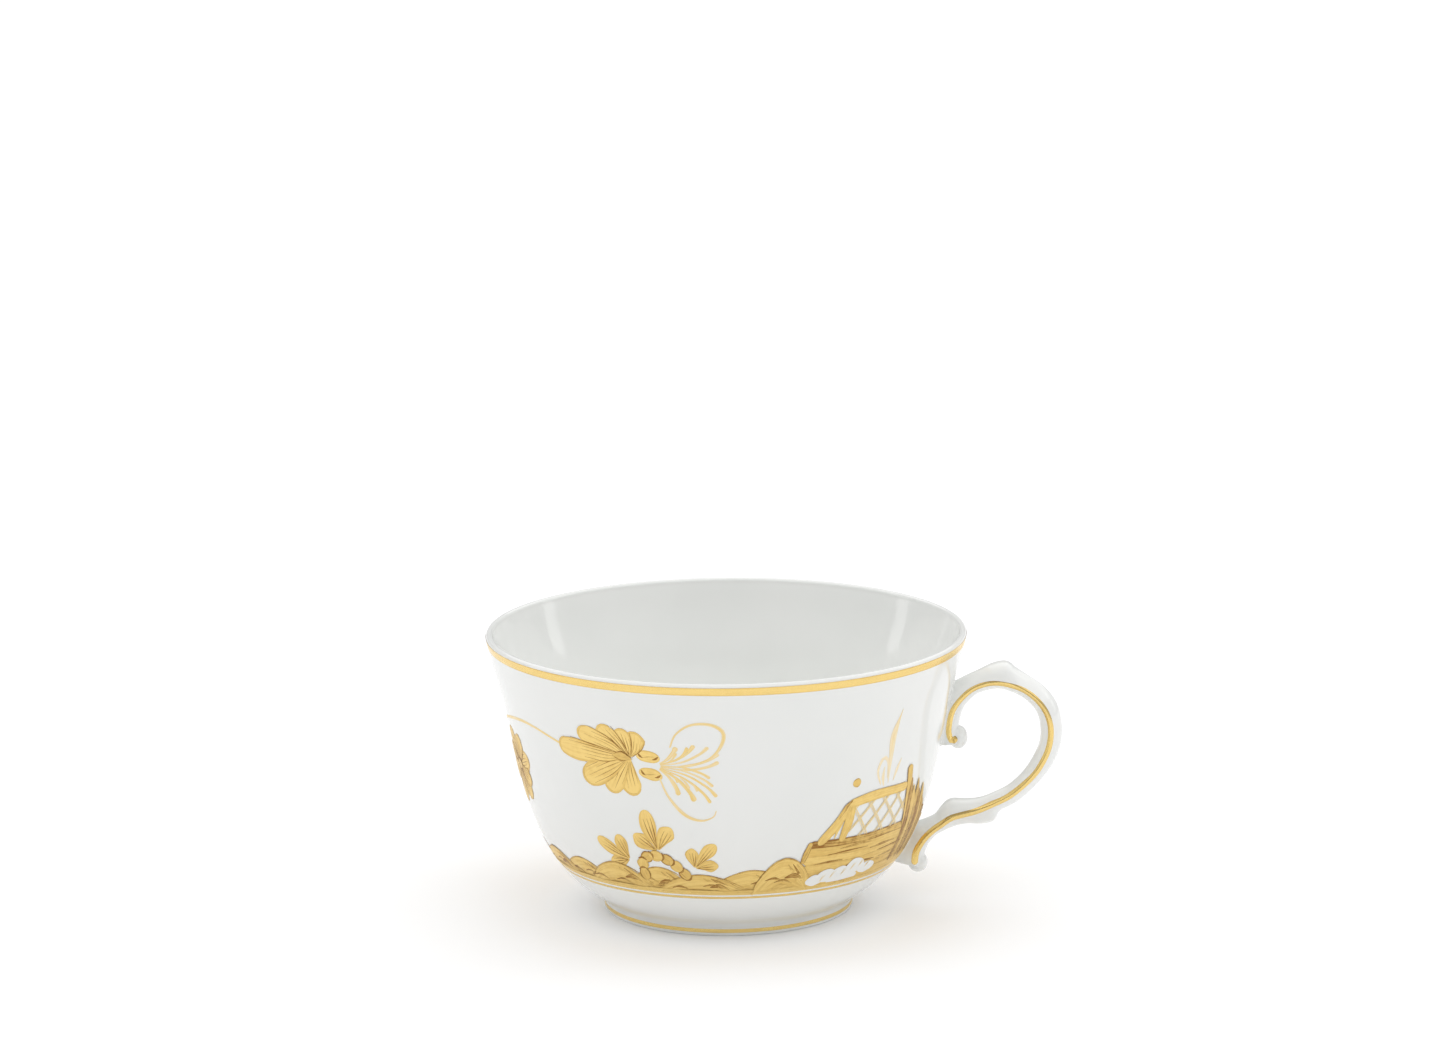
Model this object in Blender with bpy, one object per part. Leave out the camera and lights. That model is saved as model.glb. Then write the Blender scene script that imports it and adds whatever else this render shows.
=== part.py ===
"""A porcelain teacup with a scrolled loop handle and gilt lines.

Units are metres and +Z is up. The cup stands on z = 0, and the origin is the middle of its footprint box,
so the bowl's axis stands a little to the -X side and the handle points along +X.

The bowl and the foot ring are turned about the bowl's axis. The handle is cast: one section is carried along
a path in the XZ plane, and its two ends are pared to the bowl's curve. A pad of slip sits in each joint.
The gilt lines are thin bands that stand just off the glaze.
"""

import math

import bmesh
import bpy
from mathutils import Vector

# Overall sizes
RIM_RADIUS = 0.0475
CUP_HEIGHT = 0.0560
HANDLE_REACH = 0.0665  # from the bowl's axis to the handle's far side
TURN_STEPS = 64  # facets round the bowl

# Bowl
LIP_THICKNESS = 0.0019
WALL_THICKNESS = 0.0023
BASE_THICKNESS = 0.0029
BASE_UNDERSIDE_Z = 0.0026
FLOOR_CURVE_RADIUS = 0.0200  # inside this radius the inner floor is flat
# Outside of the bowl, from the foot to just under the lip, as (radius, height)
BOWL_OUTLINE = [
    (0.0250, 0.0026),
    (0.0299, 0.0061),
    (0.0337, 0.0101),
    (0.0373, 0.0162),
    (0.0403, 0.0243),
    (0.0425, 0.0336),
    (0.0441, 0.0420),
    (0.0460, 0.0490),
    (0.0475, 0.0552),
]

# Foot ring
FOOT_RADIUS = 0.0247
FOOT_WIDTH = 0.0026
FOOT_EDGE_ROUND = 0.0004
JOINT_GAP = 0.0003  # between pieces that meet face to face
SLIP_MARGIN = 0.0003  # how far a slip joint shows round its handle root

# Handle path in the XZ plane, as (distance from the bowl's axis, height), from the upper scroll to the lower
HANDLE_PATH = [
    (0.0445, 0.0328),
    (0.0446, 0.0384),
    (0.0481, 0.0437),
    (0.0540, 0.0454),
    (0.0602, 0.0428),
    (0.0637, 0.0381),
    (0.0639, 0.0325),
    (0.0611, 0.0267),
    (0.0556, 0.0219),
    (0.0488, 0.0189),
    (0.0425, 0.0165),
    (0.0385, 0.0127),
    (0.0370, 0.0078),
]
HANDLE_STATIONS = 62
SECTION_POINTS = 20
OUTER_DEPTH = 0.0023  # from the path to the handle's outer side
INNER_DEPTH = 0.0018  # from the path to the finger side
LOWER_ARM_DEPTH = 0.0018  # the outer depth again, where the lower arm is slimmest
HALF_WIDTH = 0.0029  # from the path to each flank
SECTION_POWER = 1.7  # 2 is an ellipse; less draws the flanks out to a crest
ROOT_DEPTH = 0.0058  # the roots run this far into the bowl before they are pared
SCROLL_RADIUS = 0.0021
SCROLL_HALF_WIDTH = 0.0027
UPPER_SCROLL = (0.0456, 0.0335)
LOWER_SCROLL = (0.0377, 0.0083)

# Gilding, which is drawn much thicker than the real film
FILM_THICKNESS = 0.0002
FILM_GAP = 0.0001
RIM_BAND = (0.0536, 0.0553)  # lower and upper edge
GROUND_LINE = (0.0112, 0.0118)
THIN_LINE = (0.0103, 0.0106)
FOOT_LINE = (0.0011, 0.0018)
HANDLE_LINE_WIDTH = 0.0010

# The origin is the middle of the footprint, from the rim's gilding to the handle's far side
BOWL_AXIS_X = (RIM_RADIUS + FILM_GAP + FILM_THICKNESS - HANDLE_REACH) / 2

SMOOTH_ANGLE = math.radians(40)
MERGE_DISTANCE = 1e-6


def clear_scene():
    for obj in list(bpy.data.objects):
        bpy.data.objects.remove(obj)


def material(name, colour, roughness, metallic=0.0):
    """A Principled material of one colour."""
    made = bpy.data.materials.new(name)
    made.use_nodes = True
    shader = made.node_tree.nodes["Principled BSDF"]
    shader.inputs["Base Color"].default_value = (*colour, 1.0)
    shader.inputs["Roughness"].default_value = roughness
    shader.inputs["Metallic"].default_value = metallic
    made.diffuse_color = (*colour, 1.0)
    return made


def object_from(bm, name, finish, parent):
    """Closes the bmesh into a named object that stands on the bowl's axis."""
    bmesh.ops.recalc_face_normals(bm, faces=bm.faces)
    mesh = bpy.data.meshes.new(name)
    bm.to_mesh(mesh)
    bm.free()
    mesh.shade_smooth()
    mesh.set_sharp_from_angle(angle=SMOOTH_ANGLE)
    if finish:
        mesh.materials.append(finish)
    obj = bpy.data.objects.new(name, mesh)
    bpy.context.scene.collection.objects.link(obj)
    obj.parent = parent
    return obj


def smooth_curve(points, steps):
    """Catmull-Rom points through the given ones, with `steps` points for each span."""
    points = [Vector(p) for p in points]
    first = 2 * points[0] - points[1]
    last = 2 * points[-1] - points[-2]
    padded = [first, *points, last]
    curve = []
    for a, b, c, d in zip(padded, padded[1:], padded[2:], padded[3:]):
        for i in range(steps):
            t = i / steps
            curve.append(
                0.5 * (2 * b + (c - a) * t + (2 * a - 5 * b + 4 * c - d) * t**2 + (3 * b - a - 3 * c + d) * t**3)
            )
    curve.append(points[-1])
    return curve


def offset_curve(curve, distance_at):
    """The curve moved to its left by distance_at(point), point by point."""
    moved = []
    for i, point in enumerate(curve):
        along = (curve[min(i + 1, len(curve) - 1)] - curve[max(i - 1, 0)]).normalized()
        moved.append(point + Vector((-along.y, along.x)) * distance_at(point))
    return moved


def radius_at(curve, height):
    """Radius of a turned curve at a height, by straight lines between its points."""
    for a, b in zip(curve, curve[1:]):
        if a.y <= height <= b.y:
            return a.x + (b.x - a.x) * (height - a.y) / (b.y - a.y)
    return curve[-1].x if height > curve[-1].y else curve[0].x


def turned(name, outline, finish, parent, closed=True):
    """The outline of (radius, height) points turned once round the Z axis."""
    bm = bmesh.new()
    verts = [bm.verts.new((radius, 0.0, height)) for radius, height in outline]
    ends = verts[1:] + verts[:1] if closed else verts[1:]
    edges = [bm.edges.new(pair) for pair in zip(verts, ends)]
    bmesh.ops.spin(
        bm,
        geom=verts + edges,
        cent=(0, 0, 0),
        axis=(0, 0, 1),
        angle=math.tau,
        steps=TURN_STEPS,
        use_merge=True,
        use_normal_flip=False,
        use_duplicate=False,
    )
    bmesh.ops.remove_doubles(bm, verts=bm.verts, dist=MERGE_DISTANCE)
    return object_from(bm, name, finish, parent)


def carried(name, stations, finish, parent):
    """One closed section carried through the stations, each a list of points in the same order."""
    bm = bmesh.new()
    start = face = bm.faces.new([bm.verts.new(point) for point in stations[0]])
    for station in stations[1:]:
        made = bmesh.ops.extrude_face_region(bm, geom=[face])["geom"]
        if face is not start:
            bm.faces.remove(face)
        face = next(part for part in made if isinstance(part, bmesh.types.BMFace))
        for vert, point in zip(face.verts, station):
            vert.co = point
    bmesh.ops.remove_doubles(bm, verts=bm.verts, dist=MERGE_DISTANCE)
    return object_from(bm, name, finish, parent)


def boolean(obj, other, operation):
    modifier = obj.modifiers.new(operation.title(), "BOOLEAN")
    modifier.operation = operation
    modifier.object = other


def as_guide(obj):
    """Marks an object as a cutter or guide, which isn't part of the cup."""
    obj.hide_render = True
    obj.display_type = "WIRE"
    return obj


# Bowl


def wall_at(point):
    """Wall thickness: thick at the base, then even, then a little finer at the lip."""
    low = max(0.0, 1 - point.y / 0.014)
    high = max(0.0, (point.y - 0.040) / (CUP_HEIGHT - 0.040))
    return WALL_THICKNESS + (BASE_THICKNESS - WALL_THICKNESS) * low - (WALL_THICKNESS - LIP_THICKNESS) * high


def bowl_outline():
    return smooth_curve(BOWL_OUTLINE, 2)


def make_bowl(finish, parent):
    outside = bowl_outline()
    inside = [p for p in offset_curve(outside, wall_at) if p.x > FLOOR_CURVE_RADIUS]
    floor_z = BASE_UNDERSIDE_Z + BASE_THICKNESS
    inside = [p for p in inside if p.y > floor_z + 0.0003]
    lip_centre = (outside[-1] + inside[-1]) / 2
    lip_radius = (outside[-1] - inside[-1]).length / 2
    rise = CUP_HEIGHT - lip_centre.y
    lip = [
        (lip_centre.x + lip_radius * math.cos(turn), lip_centre.y + rise * math.sin(turn))
        for turn in (math.pi * i / 6 for i in range(1, 6))
    ]
    floor = [(FLOOR_CURVE_RADIUS, floor_z), (0.0, floor_z)]
    outline = [(0.0, BASE_UNDERSIDE_Z), *[tuple(p) for p in outside], *lip]
    outline += [tuple(p) for p in reversed(inside)] + floor
    return turned("bowl", outline, finish, parent, closed=False)


def make_foot_ring(finish, parent):
    top = BASE_UNDERSIDE_Z - JOINT_GAP
    inner = FOOT_RADIUS - FOOT_WIDTH
    outline = [
        (FOOT_RADIUS, FOOT_EDGE_ROUND),
        (FOOT_RADIUS, top),
        (inner - FOOT_EDGE_ROUND, top),
        (inner, FOOT_EDGE_ROUND),
        (inner + FOOT_EDGE_ROUND, 0.0),
        (FOOT_RADIUS - FOOT_EDGE_ROUND, 0.0),
    ]
    return turned("foot_ring", outline, finish, parent)


# Handle


def handle_path():
    """(point, direction, share of the length) for each station."""
    fine = smooth_curve(HANDLE_PATH, 24)
    lengths = [0.0]
    for a, b in zip(fine, fine[1:]):
        lengths.append(lengths[-1] + (b - a).length)
    total = lengths[-1]
    stations = []
    j = 0
    for i in range(HANDLE_STATIONS + 1):
        share = i / HANDLE_STATIONS
        while lengths[j + 1] < share * total - 1e-12:
            j += 1
        part = (share * total - lengths[j]) / (lengths[j + 1] - lengths[j])
        point = fine[j].lerp(fine[j + 1], part)
        along = (fine[min(j + 2, len(fine) - 1)] - fine[max(j - 1, 0)]).normalized()
        stations.append((point, along, share))
    return stations


def ease(value):
    value = min(1.0, max(0.0, value))
    return value * value * (3 - 2 * value)


def leaf(share, start, tip, drop):
    """Height of a leaf that swells from start to tip and ends past it within drop. It also runs backwards."""
    if (share - start) * (tip - start) < 0:
        return 0.0
    rise = (share - start) / (tip - start)
    if rise <= 1:
        return ease(rise)
    return 1 - ease(abs(share - tip) / drop)


def handle_depths(share):
    """Outer depth, inner depth and half width at a share of the path."""
    upper_root = 1 - ease(share / 0.09)
    lower_root = ease((share - 0.88) / 0.08)
    thumb_rest = leaf(share, 0.15, 0.247, 0.022)
    outer_spur = leaf(share, 0.87, 0.742, 0.014)
    inner_spur = leaf(share, 0.75, 0.826, 0.026)
    outer = OUTER_DEPTH + 0.0012 * thumb_rest + 0.0014 * outer_spur
    outer += (ROOT_DEPTH - OUTER_DEPTH) * upper_root
    outer += (LOWER_ARM_DEPTH - OUTER_DEPTH) * ease((share - 0.80) / 0.10)
    inner = INNER_DEPTH + 0.0013 * inner_spur
    inner += (ROOT_DEPTH - INNER_DEPTH) * lower_root
    width = HALF_WIDTH + 0.0004 * (upper_root + lower_root) + 0.0003 * thumb_rest
    return outer, inner, width


def handle_sections(grow=0.0):
    """The section at each station, grown all round by `grow`."""
    sections = []
    for point, along, share in handle_path():
        outer, inner, width = (depth + grow for depth in handle_depths(share))
        outward = Vector((-along.y, along.x))
        section = []
        for k in range(SECTION_POINTS):
            turn = math.tau * k / SECTION_POINTS
            across = abs(math.cos(turn)) ** (2 / SECTION_POWER) * math.copysign(1, math.cos(turn))
            side = abs(math.sin(turn)) ** (2 / SECTION_POWER) * math.copysign(1, math.sin(turn))
            place = point + outward * across * (outer if across > 0 else inner)
            section.append(Vector((place.x, side * width, place.y)))
        sections.append(section)
    return sections


def scroll(name, centre, parent):
    """The rounded button that ends a scroll, lying across the handle."""
    bm = bmesh.new()
    bmesh.ops.create_icosphere(bm, subdivisions=3, radius=1.0)
    size = Vector((SCROLL_RADIUS, SCROLL_HALF_WIDTH, SCROLL_RADIUS))
    bmesh.ops.scale(bm, vec=size, verts=bm.verts)
    bmesh.ops.translate(bm, vec=(centre[0], 0.0, centre[1]), verts=bm.verts)
    return as_guide(object_from(bm, name, None, parent))


def bowl_grown(name, inner, outer, low, high, parent):
    """A turned guide with the bowl's outside, from `inner` to `outer` off it and from low to high."""
    outside = [p for p in bowl_outline() if low <= p.y <= high]
    far = [tuple(p) for p in offset_curve(outside, lambda _: -outer)]
    if inner is None:
        near = [(0.0, far[-1][1]), (0.0, far[0][1])]
        return as_guide(turned(name, far + near, None, parent, closed=False))
    near = [tuple(p) for p in offset_curve(outside, lambda _: -inner)]
    return as_guide(turned(name, far + near[::-1], None, parent))


def make_handle(finish, parent):
    """The cast form with a button at each end, pared to the bowl's curve."""
    handle = carried("handle", handle_sections(), finish, parent)
    boolean(handle, scroll("upper_scroll", UPPER_SCROLL, parent), "UNION")
    boolean(handle, scroll("lower_scroll", LOWER_SCROLL, parent), "UNION")
    boolean(handle, bowl_grown("handle_seat", None, 3 * JOINT_GAP, 0.0, 1.0, parent), "DIFFERENCE")
    return handle


def make_slip_joint(name, low, high, finish, parent):
    """The pad of slip between a handle root and the bowl, a little wider than the root."""
    pad = bowl_grown(name, JOINT_GAP, 2 * JOINT_GAP, low, high, parent)
    pad.hide_render = False
    pad.display_type = "TEXTURED"
    pad.data.materials.append(finish)
    boolean(pad, as_guide(carried(f"{name}_outline", handle_sections(SLIP_MARGIN), None, parent)), "INTERSECT")
    return pad


# Gilding


def make_band(name, low, high, surface, finish, parent):
    """A thin band round a turned surface, between two heights."""
    levels = [low, (low + high) / 2, high]
    track = [Vector((radius_at(surface, z), z)) for z in levels]
    near = offset_curve(track, lambda _: -FILM_GAP)
    far = offset_curve(track, lambda _: -FILM_GAP - FILM_THICKNESS)
    return turned(name, [tuple(p) for p in near + far[::-1]], finish, parent)


def make_handle_line(name, side, finish, parent):
    """The gilt line along one flank of the handle. side is -1 for the front and 1 for the back."""
    near = FILM_GAP
    far = FILM_GAP + FILM_THICKNESS
    stations = []
    for point, along, share in handle_path():
        if not 0.02 <= share <= 0.985:
            continue
        width = handle_depths(share)[2]
        outward = Vector((-along.y, along.x)) * HANDLE_LINE_WIDTH / 2
        section = []
        for across, stand in ((1, near), (1, far), (-1, far), (-1, near)):
            place = point + outward * across
            section.append(Vector((place.x, side * (width + stand), place.y)))
        stations.append(section)
    return carried(name, stations, finish, parent)


def main():
    clear_scene()
    axis = bpy.data.objects.new("bowl_axis", None)
    axis.location.x = BOWL_AXIS_X
    bpy.context.scene.collection.objects.link(axis)

    porcelain = material("porcelain", (0.90, 0.91, 0.90), 0.12)
    slip = material("slip", (0.88, 0.88, 0.86), 0.45)
    gilding = material("gilding", (0.80, 0.58, 0.20), 0.28, 1.0)

    make_bowl(porcelain, axis)
    make_foot_ring(porcelain, axis)
    make_handle(porcelain, axis)
    make_slip_joint("upper_slip_joint", 0.026, 0.051, slip, axis)
    make_slip_joint("lower_slip_joint", 0.004, 0.022, slip, axis)

    outside = bowl_outline()
    foot_side = [Vector((FOOT_RADIUS, 0.0)), Vector((FOOT_RADIUS, BASE_UNDERSIDE_Z))]
    make_band("rim_gilding", *RIM_BAND, outside, gilding, axis)
    make_band("ground_line_gilding", *GROUND_LINE, outside, gilding, axis)
    make_band("thin_line_gilding", *THIN_LINE, outside, gilding, axis)
    make_band("foot_gilding", *FOOT_LINE, foot_side, gilding, axis)
    make_handle_line("handle_gilding_front", -1, gilding, axis)
    make_handle_line("handle_gilding_back", 1, gilding, axis)


main()
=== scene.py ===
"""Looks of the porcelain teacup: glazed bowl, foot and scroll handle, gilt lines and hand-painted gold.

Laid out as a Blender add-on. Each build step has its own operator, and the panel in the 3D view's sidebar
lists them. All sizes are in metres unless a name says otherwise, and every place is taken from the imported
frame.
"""

import bisect
import math
import random

import bmesh
import bpy
from bpy.props import FloatProperty, FloatVectorProperty, IntProperty, PointerProperty
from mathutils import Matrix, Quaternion, Vector
from mathutils.bvhtree import BVHTree


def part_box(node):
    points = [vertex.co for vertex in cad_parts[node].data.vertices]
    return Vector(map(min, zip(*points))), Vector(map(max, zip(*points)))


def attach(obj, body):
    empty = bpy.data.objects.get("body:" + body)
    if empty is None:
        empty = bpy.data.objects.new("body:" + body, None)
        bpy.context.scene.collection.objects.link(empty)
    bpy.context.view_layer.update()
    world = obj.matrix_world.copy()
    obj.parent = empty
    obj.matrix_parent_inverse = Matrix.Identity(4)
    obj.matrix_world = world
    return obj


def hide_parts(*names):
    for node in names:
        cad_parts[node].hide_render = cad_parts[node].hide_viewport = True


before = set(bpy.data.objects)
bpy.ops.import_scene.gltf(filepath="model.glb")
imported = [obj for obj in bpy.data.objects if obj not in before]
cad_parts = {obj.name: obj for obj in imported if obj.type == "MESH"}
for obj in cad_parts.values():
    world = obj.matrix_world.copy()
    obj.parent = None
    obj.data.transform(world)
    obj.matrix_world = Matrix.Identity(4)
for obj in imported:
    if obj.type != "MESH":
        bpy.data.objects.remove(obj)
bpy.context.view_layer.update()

bl_info = {
    "name": "Teacup looks",
    "version": (1, 0, 0),
    "blender": (4, 5, 0),
    "location": "3D View > Sidebar > Teacup",
    "description": "Builds the glazed body, handle and painted gilding of a porcelain teacup",
    "category": "Mesh",
}

MM = 0.001
DRAWING_RADIUS = 42.0  # mm: flat drawings are laid round the bowl at this radius

# Places from the frame
BOWL_LOW, BOWL_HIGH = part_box("bowl")
FOOT_LOW, FOOT_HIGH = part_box("foot_ring")
AXIS_X = (BOWL_LOW.x + BOWL_HIGH.x) / 2
BASE_Z = BOWL_LOW.z
FOOT_RADIUS = (FOOT_HIGH.x - FOOT_LOW.x) / 2
RIM_RADIUS = (BOWL_HIGH.x - BOWL_LOW.x) / 2
RIM_Z = BOWL_HIGH.z

# The wall thins towards the lip, and so does the lip's outline: mm in from the rim's edge, and mm down
LIP_TAPER = 0.5 * MM
LIP = [(0.02, 0.75), (0.10, 0.35), (0.36, 0.06), (0.70, 0.0), (1.04, 0.08), (1.30, 0.42), (1.42, 0.95)]

MERGE = 1e-7  # corners closer than this are one


# Curves and turned outlines


def smooth_curve(points, steps):
    """Catmull-Rom points through the given ones, with `steps` points for each span."""
    points = [Vector(p) for p in points]
    padded = [2 * points[0] - points[1], *points, 2 * points[-1] - points[-2]]
    curve = []
    for a, b, c, d in zip(padded, padded[1:], padded[2:], padded[3:]):
        for i in range(steps):
            t = i / steps
            bend = (2 * a - 5 * b + 4 * c - d) * t**2
            twist = (3 * b - a - 3 * c + d) * t**3
            curve.append(0.5 * (2 * b + (c - a) * t + bend + twist))
    curve.append(points[-1])
    return curve


def even_curve(points, count, dims=None):
    """`count` + 1 places at even steps along a smooth curve through the points.

    dims is how many of each point's numbers are its place. The rest are values carried along with it."""
    fine = smooth_curve(points, 16)
    dims = dims or len(fine[0])
    lengths = [0.0]
    for a, b in zip(fine, fine[1:]):
        lengths.append(lengths[-1] + math.dist(a[:dims], b[:dims]))
    places = []
    for i in range(count + 1):
        wanted = lengths[-1] * i / count
        j = min(max(bisect.bisect_right(lengths, wanted), 1), len(fine) - 1)
        part = (wanted - lengths[j - 1]) / max(lengths[j] - lengths[j - 1], 1e-12)
        places.append(fine[j - 1].lerp(fine[j], min(part, 1.0)))
    return places


def cad_outline(node, outward):
    """(radius, height) points up the outer side of a turned CAD node, or up its inner side for -1."""
    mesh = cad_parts[node].data
    widest = {}
    for face in mesh.polygons:
        away = Vector((face.center.x - AXIS_X, face.center.y, 0.0)).normalized()
        if face.normal.dot(away) * outward < 0.05:
            continue
        for index in face.vertices:
            co = mesh.vertices[index].co
            height = round(co.z, 5)
            widest[height] = max(widest.get(height, 0.0), math.hypot(co.x - AXIS_X, co.y))
    return [Vector((radius, height)) for height, radius in sorted(widest.items())]


class Wall:
    """The bowl's outside as a sheet, with a length up its curve and an angle round its axis.

    Angle 0 faces -Y, and the handle is at 90 degrees."""

    def __init__(self, outline):
        self.outline = outline
        self.lengths = [0.0]
        for a, b in zip(outline, outline[1:]):
            self.lengths.append(self.lengths[-1] + (b - a).length)

    def at_height(self, height):
        """(length up the wall, radius) at a height."""
        for i, (a, b) in enumerate(zip(self.outline, self.outline[1:])):
            if a.y <= height <= b.y:
                place = a.lerp(b, (height - a.y) / (b.y - a.y))
                return self.lengths[i] + (place - a).length, place.x
        raise ValueError(f"the wall has no height {height}")

    def point(self, angle, length, lift):
        """The point at an angle and a length up the wall, lifted off it."""
        i = min(max(bisect.bisect_right(self.lengths, length) - 1, 0), len(self.outline) - 2)
        a, b = self.outline[i], self.outline[i + 1]
        along = (b - a).normalized()
        place = a + along * (length - self.lengths[i]) + Vector((along.y, -along.x)) * lift
        return Vector((AXIS_X + place.x * math.sin(angle), -place.x * math.cos(angle), place.y))


OUTSIDE = smooth_curve(cad_outline("bowl", 1), 3)
INSIDE = smooth_curve(cad_outline("bowl", -1), 3)
WALL = Wall(OUTSIDE)


# Settings


class GlazeSettings(bpy.types.PropertyGroup):
    colour: FloatVectorProperty(
        name="Porcelain", description="Colour of the porcelain through its clear glaze", subtype="COLOR",
        size=4, min=0.0, max=1.0, default=(0.880, 0.886, 0.866, 1.0),
    )
    pooled: FloatVectorProperty(
        name="Pooled glaze", description="Colour where the glaze lies thicker", subtype="COLOR",
        size=4, min=0.0, max=1.0, default=(0.855, 0.866, 0.845, 1.0),
    )
    biscuit: FloatVectorProperty(
        name="Biscuit", description="Colour of the bare clay under the foot", subtype="COLOR",
        size=4, min=0.0, max=1.0, default=(0.70, 0.67, 0.62, 1.0),
    )
    waver: FloatProperty(
        name="Glaze waver", description="Depth of the slow waves in the glaze", unit="LENGTH",
        min=0.0, default=0.00006,
    )


class BodySettings(bpy.types.PropertyGroup):
    turn_steps: IntProperty(
        name="Facets", description="Facets round the bowl and the foot", min=64, max=512, default=256,
    )
    foot_fillet: FloatProperty(
        name="Foot fillet", description="Height of the glazed curve where the foot meets the bowl",
        unit="LENGTH", min=0.0001, default=0.0015,
    )
    foot_round: FloatProperty(
        name="Foot edge", description="Radius of the foot's lower edges", unit="LENGTH",
        min=0.0001, default=0.00045,
    )


class HandleSettings(bpy.types.PropertyGroup):
    voxel: FloatProperty(
        name="Modelling grain", description="Size of the cells that the cast form is blended with",
        unit="LENGTH", min=0.0001, default=0.00019,
    )
    ridge: FloatProperty(
        name="Ridge", description="How far the gilded crest stands out of each flank", unit="LENGTH",
        min=0.0, default=0.00025,
    )
    fillet_passes: IntProperty(
        name="Fillet passes", description="Smoothing passes where the roots meet the bowl",
        min=0, max=200, default=36,
    )


class GildingSettings(bpy.types.PropertyGroup):
    light: FloatVectorProperty(
        name="Light gold", description="Gold where it is laid thin and burnished", subtype="COLOR",
        size=4, min=0.0, max=1.0, default=(0.87, 0.64, 0.235, 1.0),
    )
    middle: FloatVectorProperty(
        name="Middle gold", description="Gold of an ordinary brush stroke", subtype="COLOR",
        size=4, min=0.0, max=1.0, default=(0.75, 0.52, 0.168, 1.0),
    )
    dark: FloatVectorProperty(
        name="Dark gold", description="Gold where the brush left it thick", subtype="COLOR",
        size=4, min=0.0, max=1.0, default=(0.30, 0.135, 0.032, 1.0),
    )
    lift: FloatProperty(
        name="Lift", description="Clearance under the first film of gold", unit="LENGTH",
        min=0.0, default=0.000012,
    )
    film: FloatProperty(
        name="Film", description="Thickness of one film of gold", unit="LENGTH",
        min=0.0, default=0.000009,
    )


class DecorationSettings(bpy.types.PropertyGroup):
    seed: IntProperty(
        name="Seed", description="Seed of the hand's small slips", min=0, default=7,
    )
    mounds: IntProperty(
        name="Mounds", description="Painted mounds round the cup", min=8, max=80, default=24,
    )


class StageSettings(bpy.types.PropertyGroup):
    sky: FloatProperty(
        name="Room light", description="Strength of the even white light", min=0.0, default=0.33,
    )
    table_glow: FloatProperty(
        name="Table glow", description="Light that comes up through the table top", min=0.0, default=0.05,
    )
    key: FloatProperty(
        name="Overhead light", description="Strength of the wide overhead light", min=0.0, default=2.3,
    )
    panel: FloatProperty(
        name="Front panels", description="Power of the large soft panel on each side of the camera",
        unit="POWER", min=0.0, default=0.5,
    )
    strip: FloatProperty(
        name="Side strips", description="Power of the tall narrow light on each side",
        unit="POWER", min=0.0, default=0.55,
    )
    lens: FloatProperty(
        name="Lens", description="Focal length of the camera in mm", min=20.0, default=149.48,
    )


class TeacupSettings(bpy.types.PropertyGroup):
    glaze: PointerProperty(type=GlazeSettings)
    body: PointerProperty(type=BodySettings)
    handle: PointerProperty(type=HandleSettings)
    gilding: PointerProperty(type=GildingSettings)
    decoration: PointerProperty(type=DecorationSettings)
    stage: PointerProperty(type=StageSettings)


# Materials


def add_node(tree, kind, values=(), **settings):
    """Adds a node with its settings. Each named or numbered input gets a value, or a link from a socket."""
    node = tree.nodes.new(kind)
    for name, value in settings.items():
        setattr(node, name, value)
    for name, value in dict(values).items():
        if isinstance(value, bpy.types.NodeSocket):
            tree.links.new(value, node.inputs[name])
        else:
            node.inputs[name].default_value = value
    return node


def maths(tree, operation, *values, clamp=False):
    """The result of one Math node."""
    node = add_node(tree, "ShaderNodeMath", enumerate(values), operation=operation, use_clamp=clamp)
    return node.outputs[0]


def spread(tree, value, low, high, to_low=0.0, to_high=1.0):
    """The value from low to high, spread smoothly over to_low to to_high."""
    node = add_node(
        tree, "ShaderNodeMapRange",
        {"Value": value, "From Min": low, "From Max": high, "To Min": to_low, "To Max": to_high},
        interpolation_type="SMOOTHSTEP",
    )
    return node.outputs["Result"]


def noise(tree, vector, scale, detail):
    """The value of a Noise Texture node."""
    values = {"Vector": vector, "Scale": scale, "Detail": detail}
    return add_node(tree, "ShaderNodeTexNoise", values).outputs["Fac"]


def bump_surface(tree, shader, height, strength, distance):
    """Bumps the shader's surface by a height that changes over it."""
    bump = add_node(tree, "ShaderNodeBump", {"Height": height, "Strength": strength, "Distance": distance})
    tree.links.new(bump.outputs["Normal"], shader.inputs["Normal"])


def blend_colours(tree, share, first, second):
    """From the first colour to the second by a share. Each is a socket or a plain colour."""
    node = add_node(tree, "ShaderNodeMix", {"Factor": share}, data_type="RGBA")
    for socket, value in ((node.inputs[6], first), (node.inputs[7], second)):
        if isinstance(value, bpy.types.NodeSocket):
            tree.links.new(value, socket)
        else:
            socket.default_value = value
    return node.outputs[2]


def new_group(name, inputs, outputs):
    """An empty shader node group, with its input and output nodes."""
    tree = bpy.data.node_groups.new(name, "ShaderNodeTree")
    for kind, sockets in (("INPUT", inputs), ("OUTPUT", outputs)):
        for socket_name, socket_type in sockets:
            tree.interface.new_socket(name=socket_name, in_out=kind, socket_type=socket_type)
    return tree, tree.nodes.new("NodeGroupInput"), tree.nodes.new("NodeGroupOutput")


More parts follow.
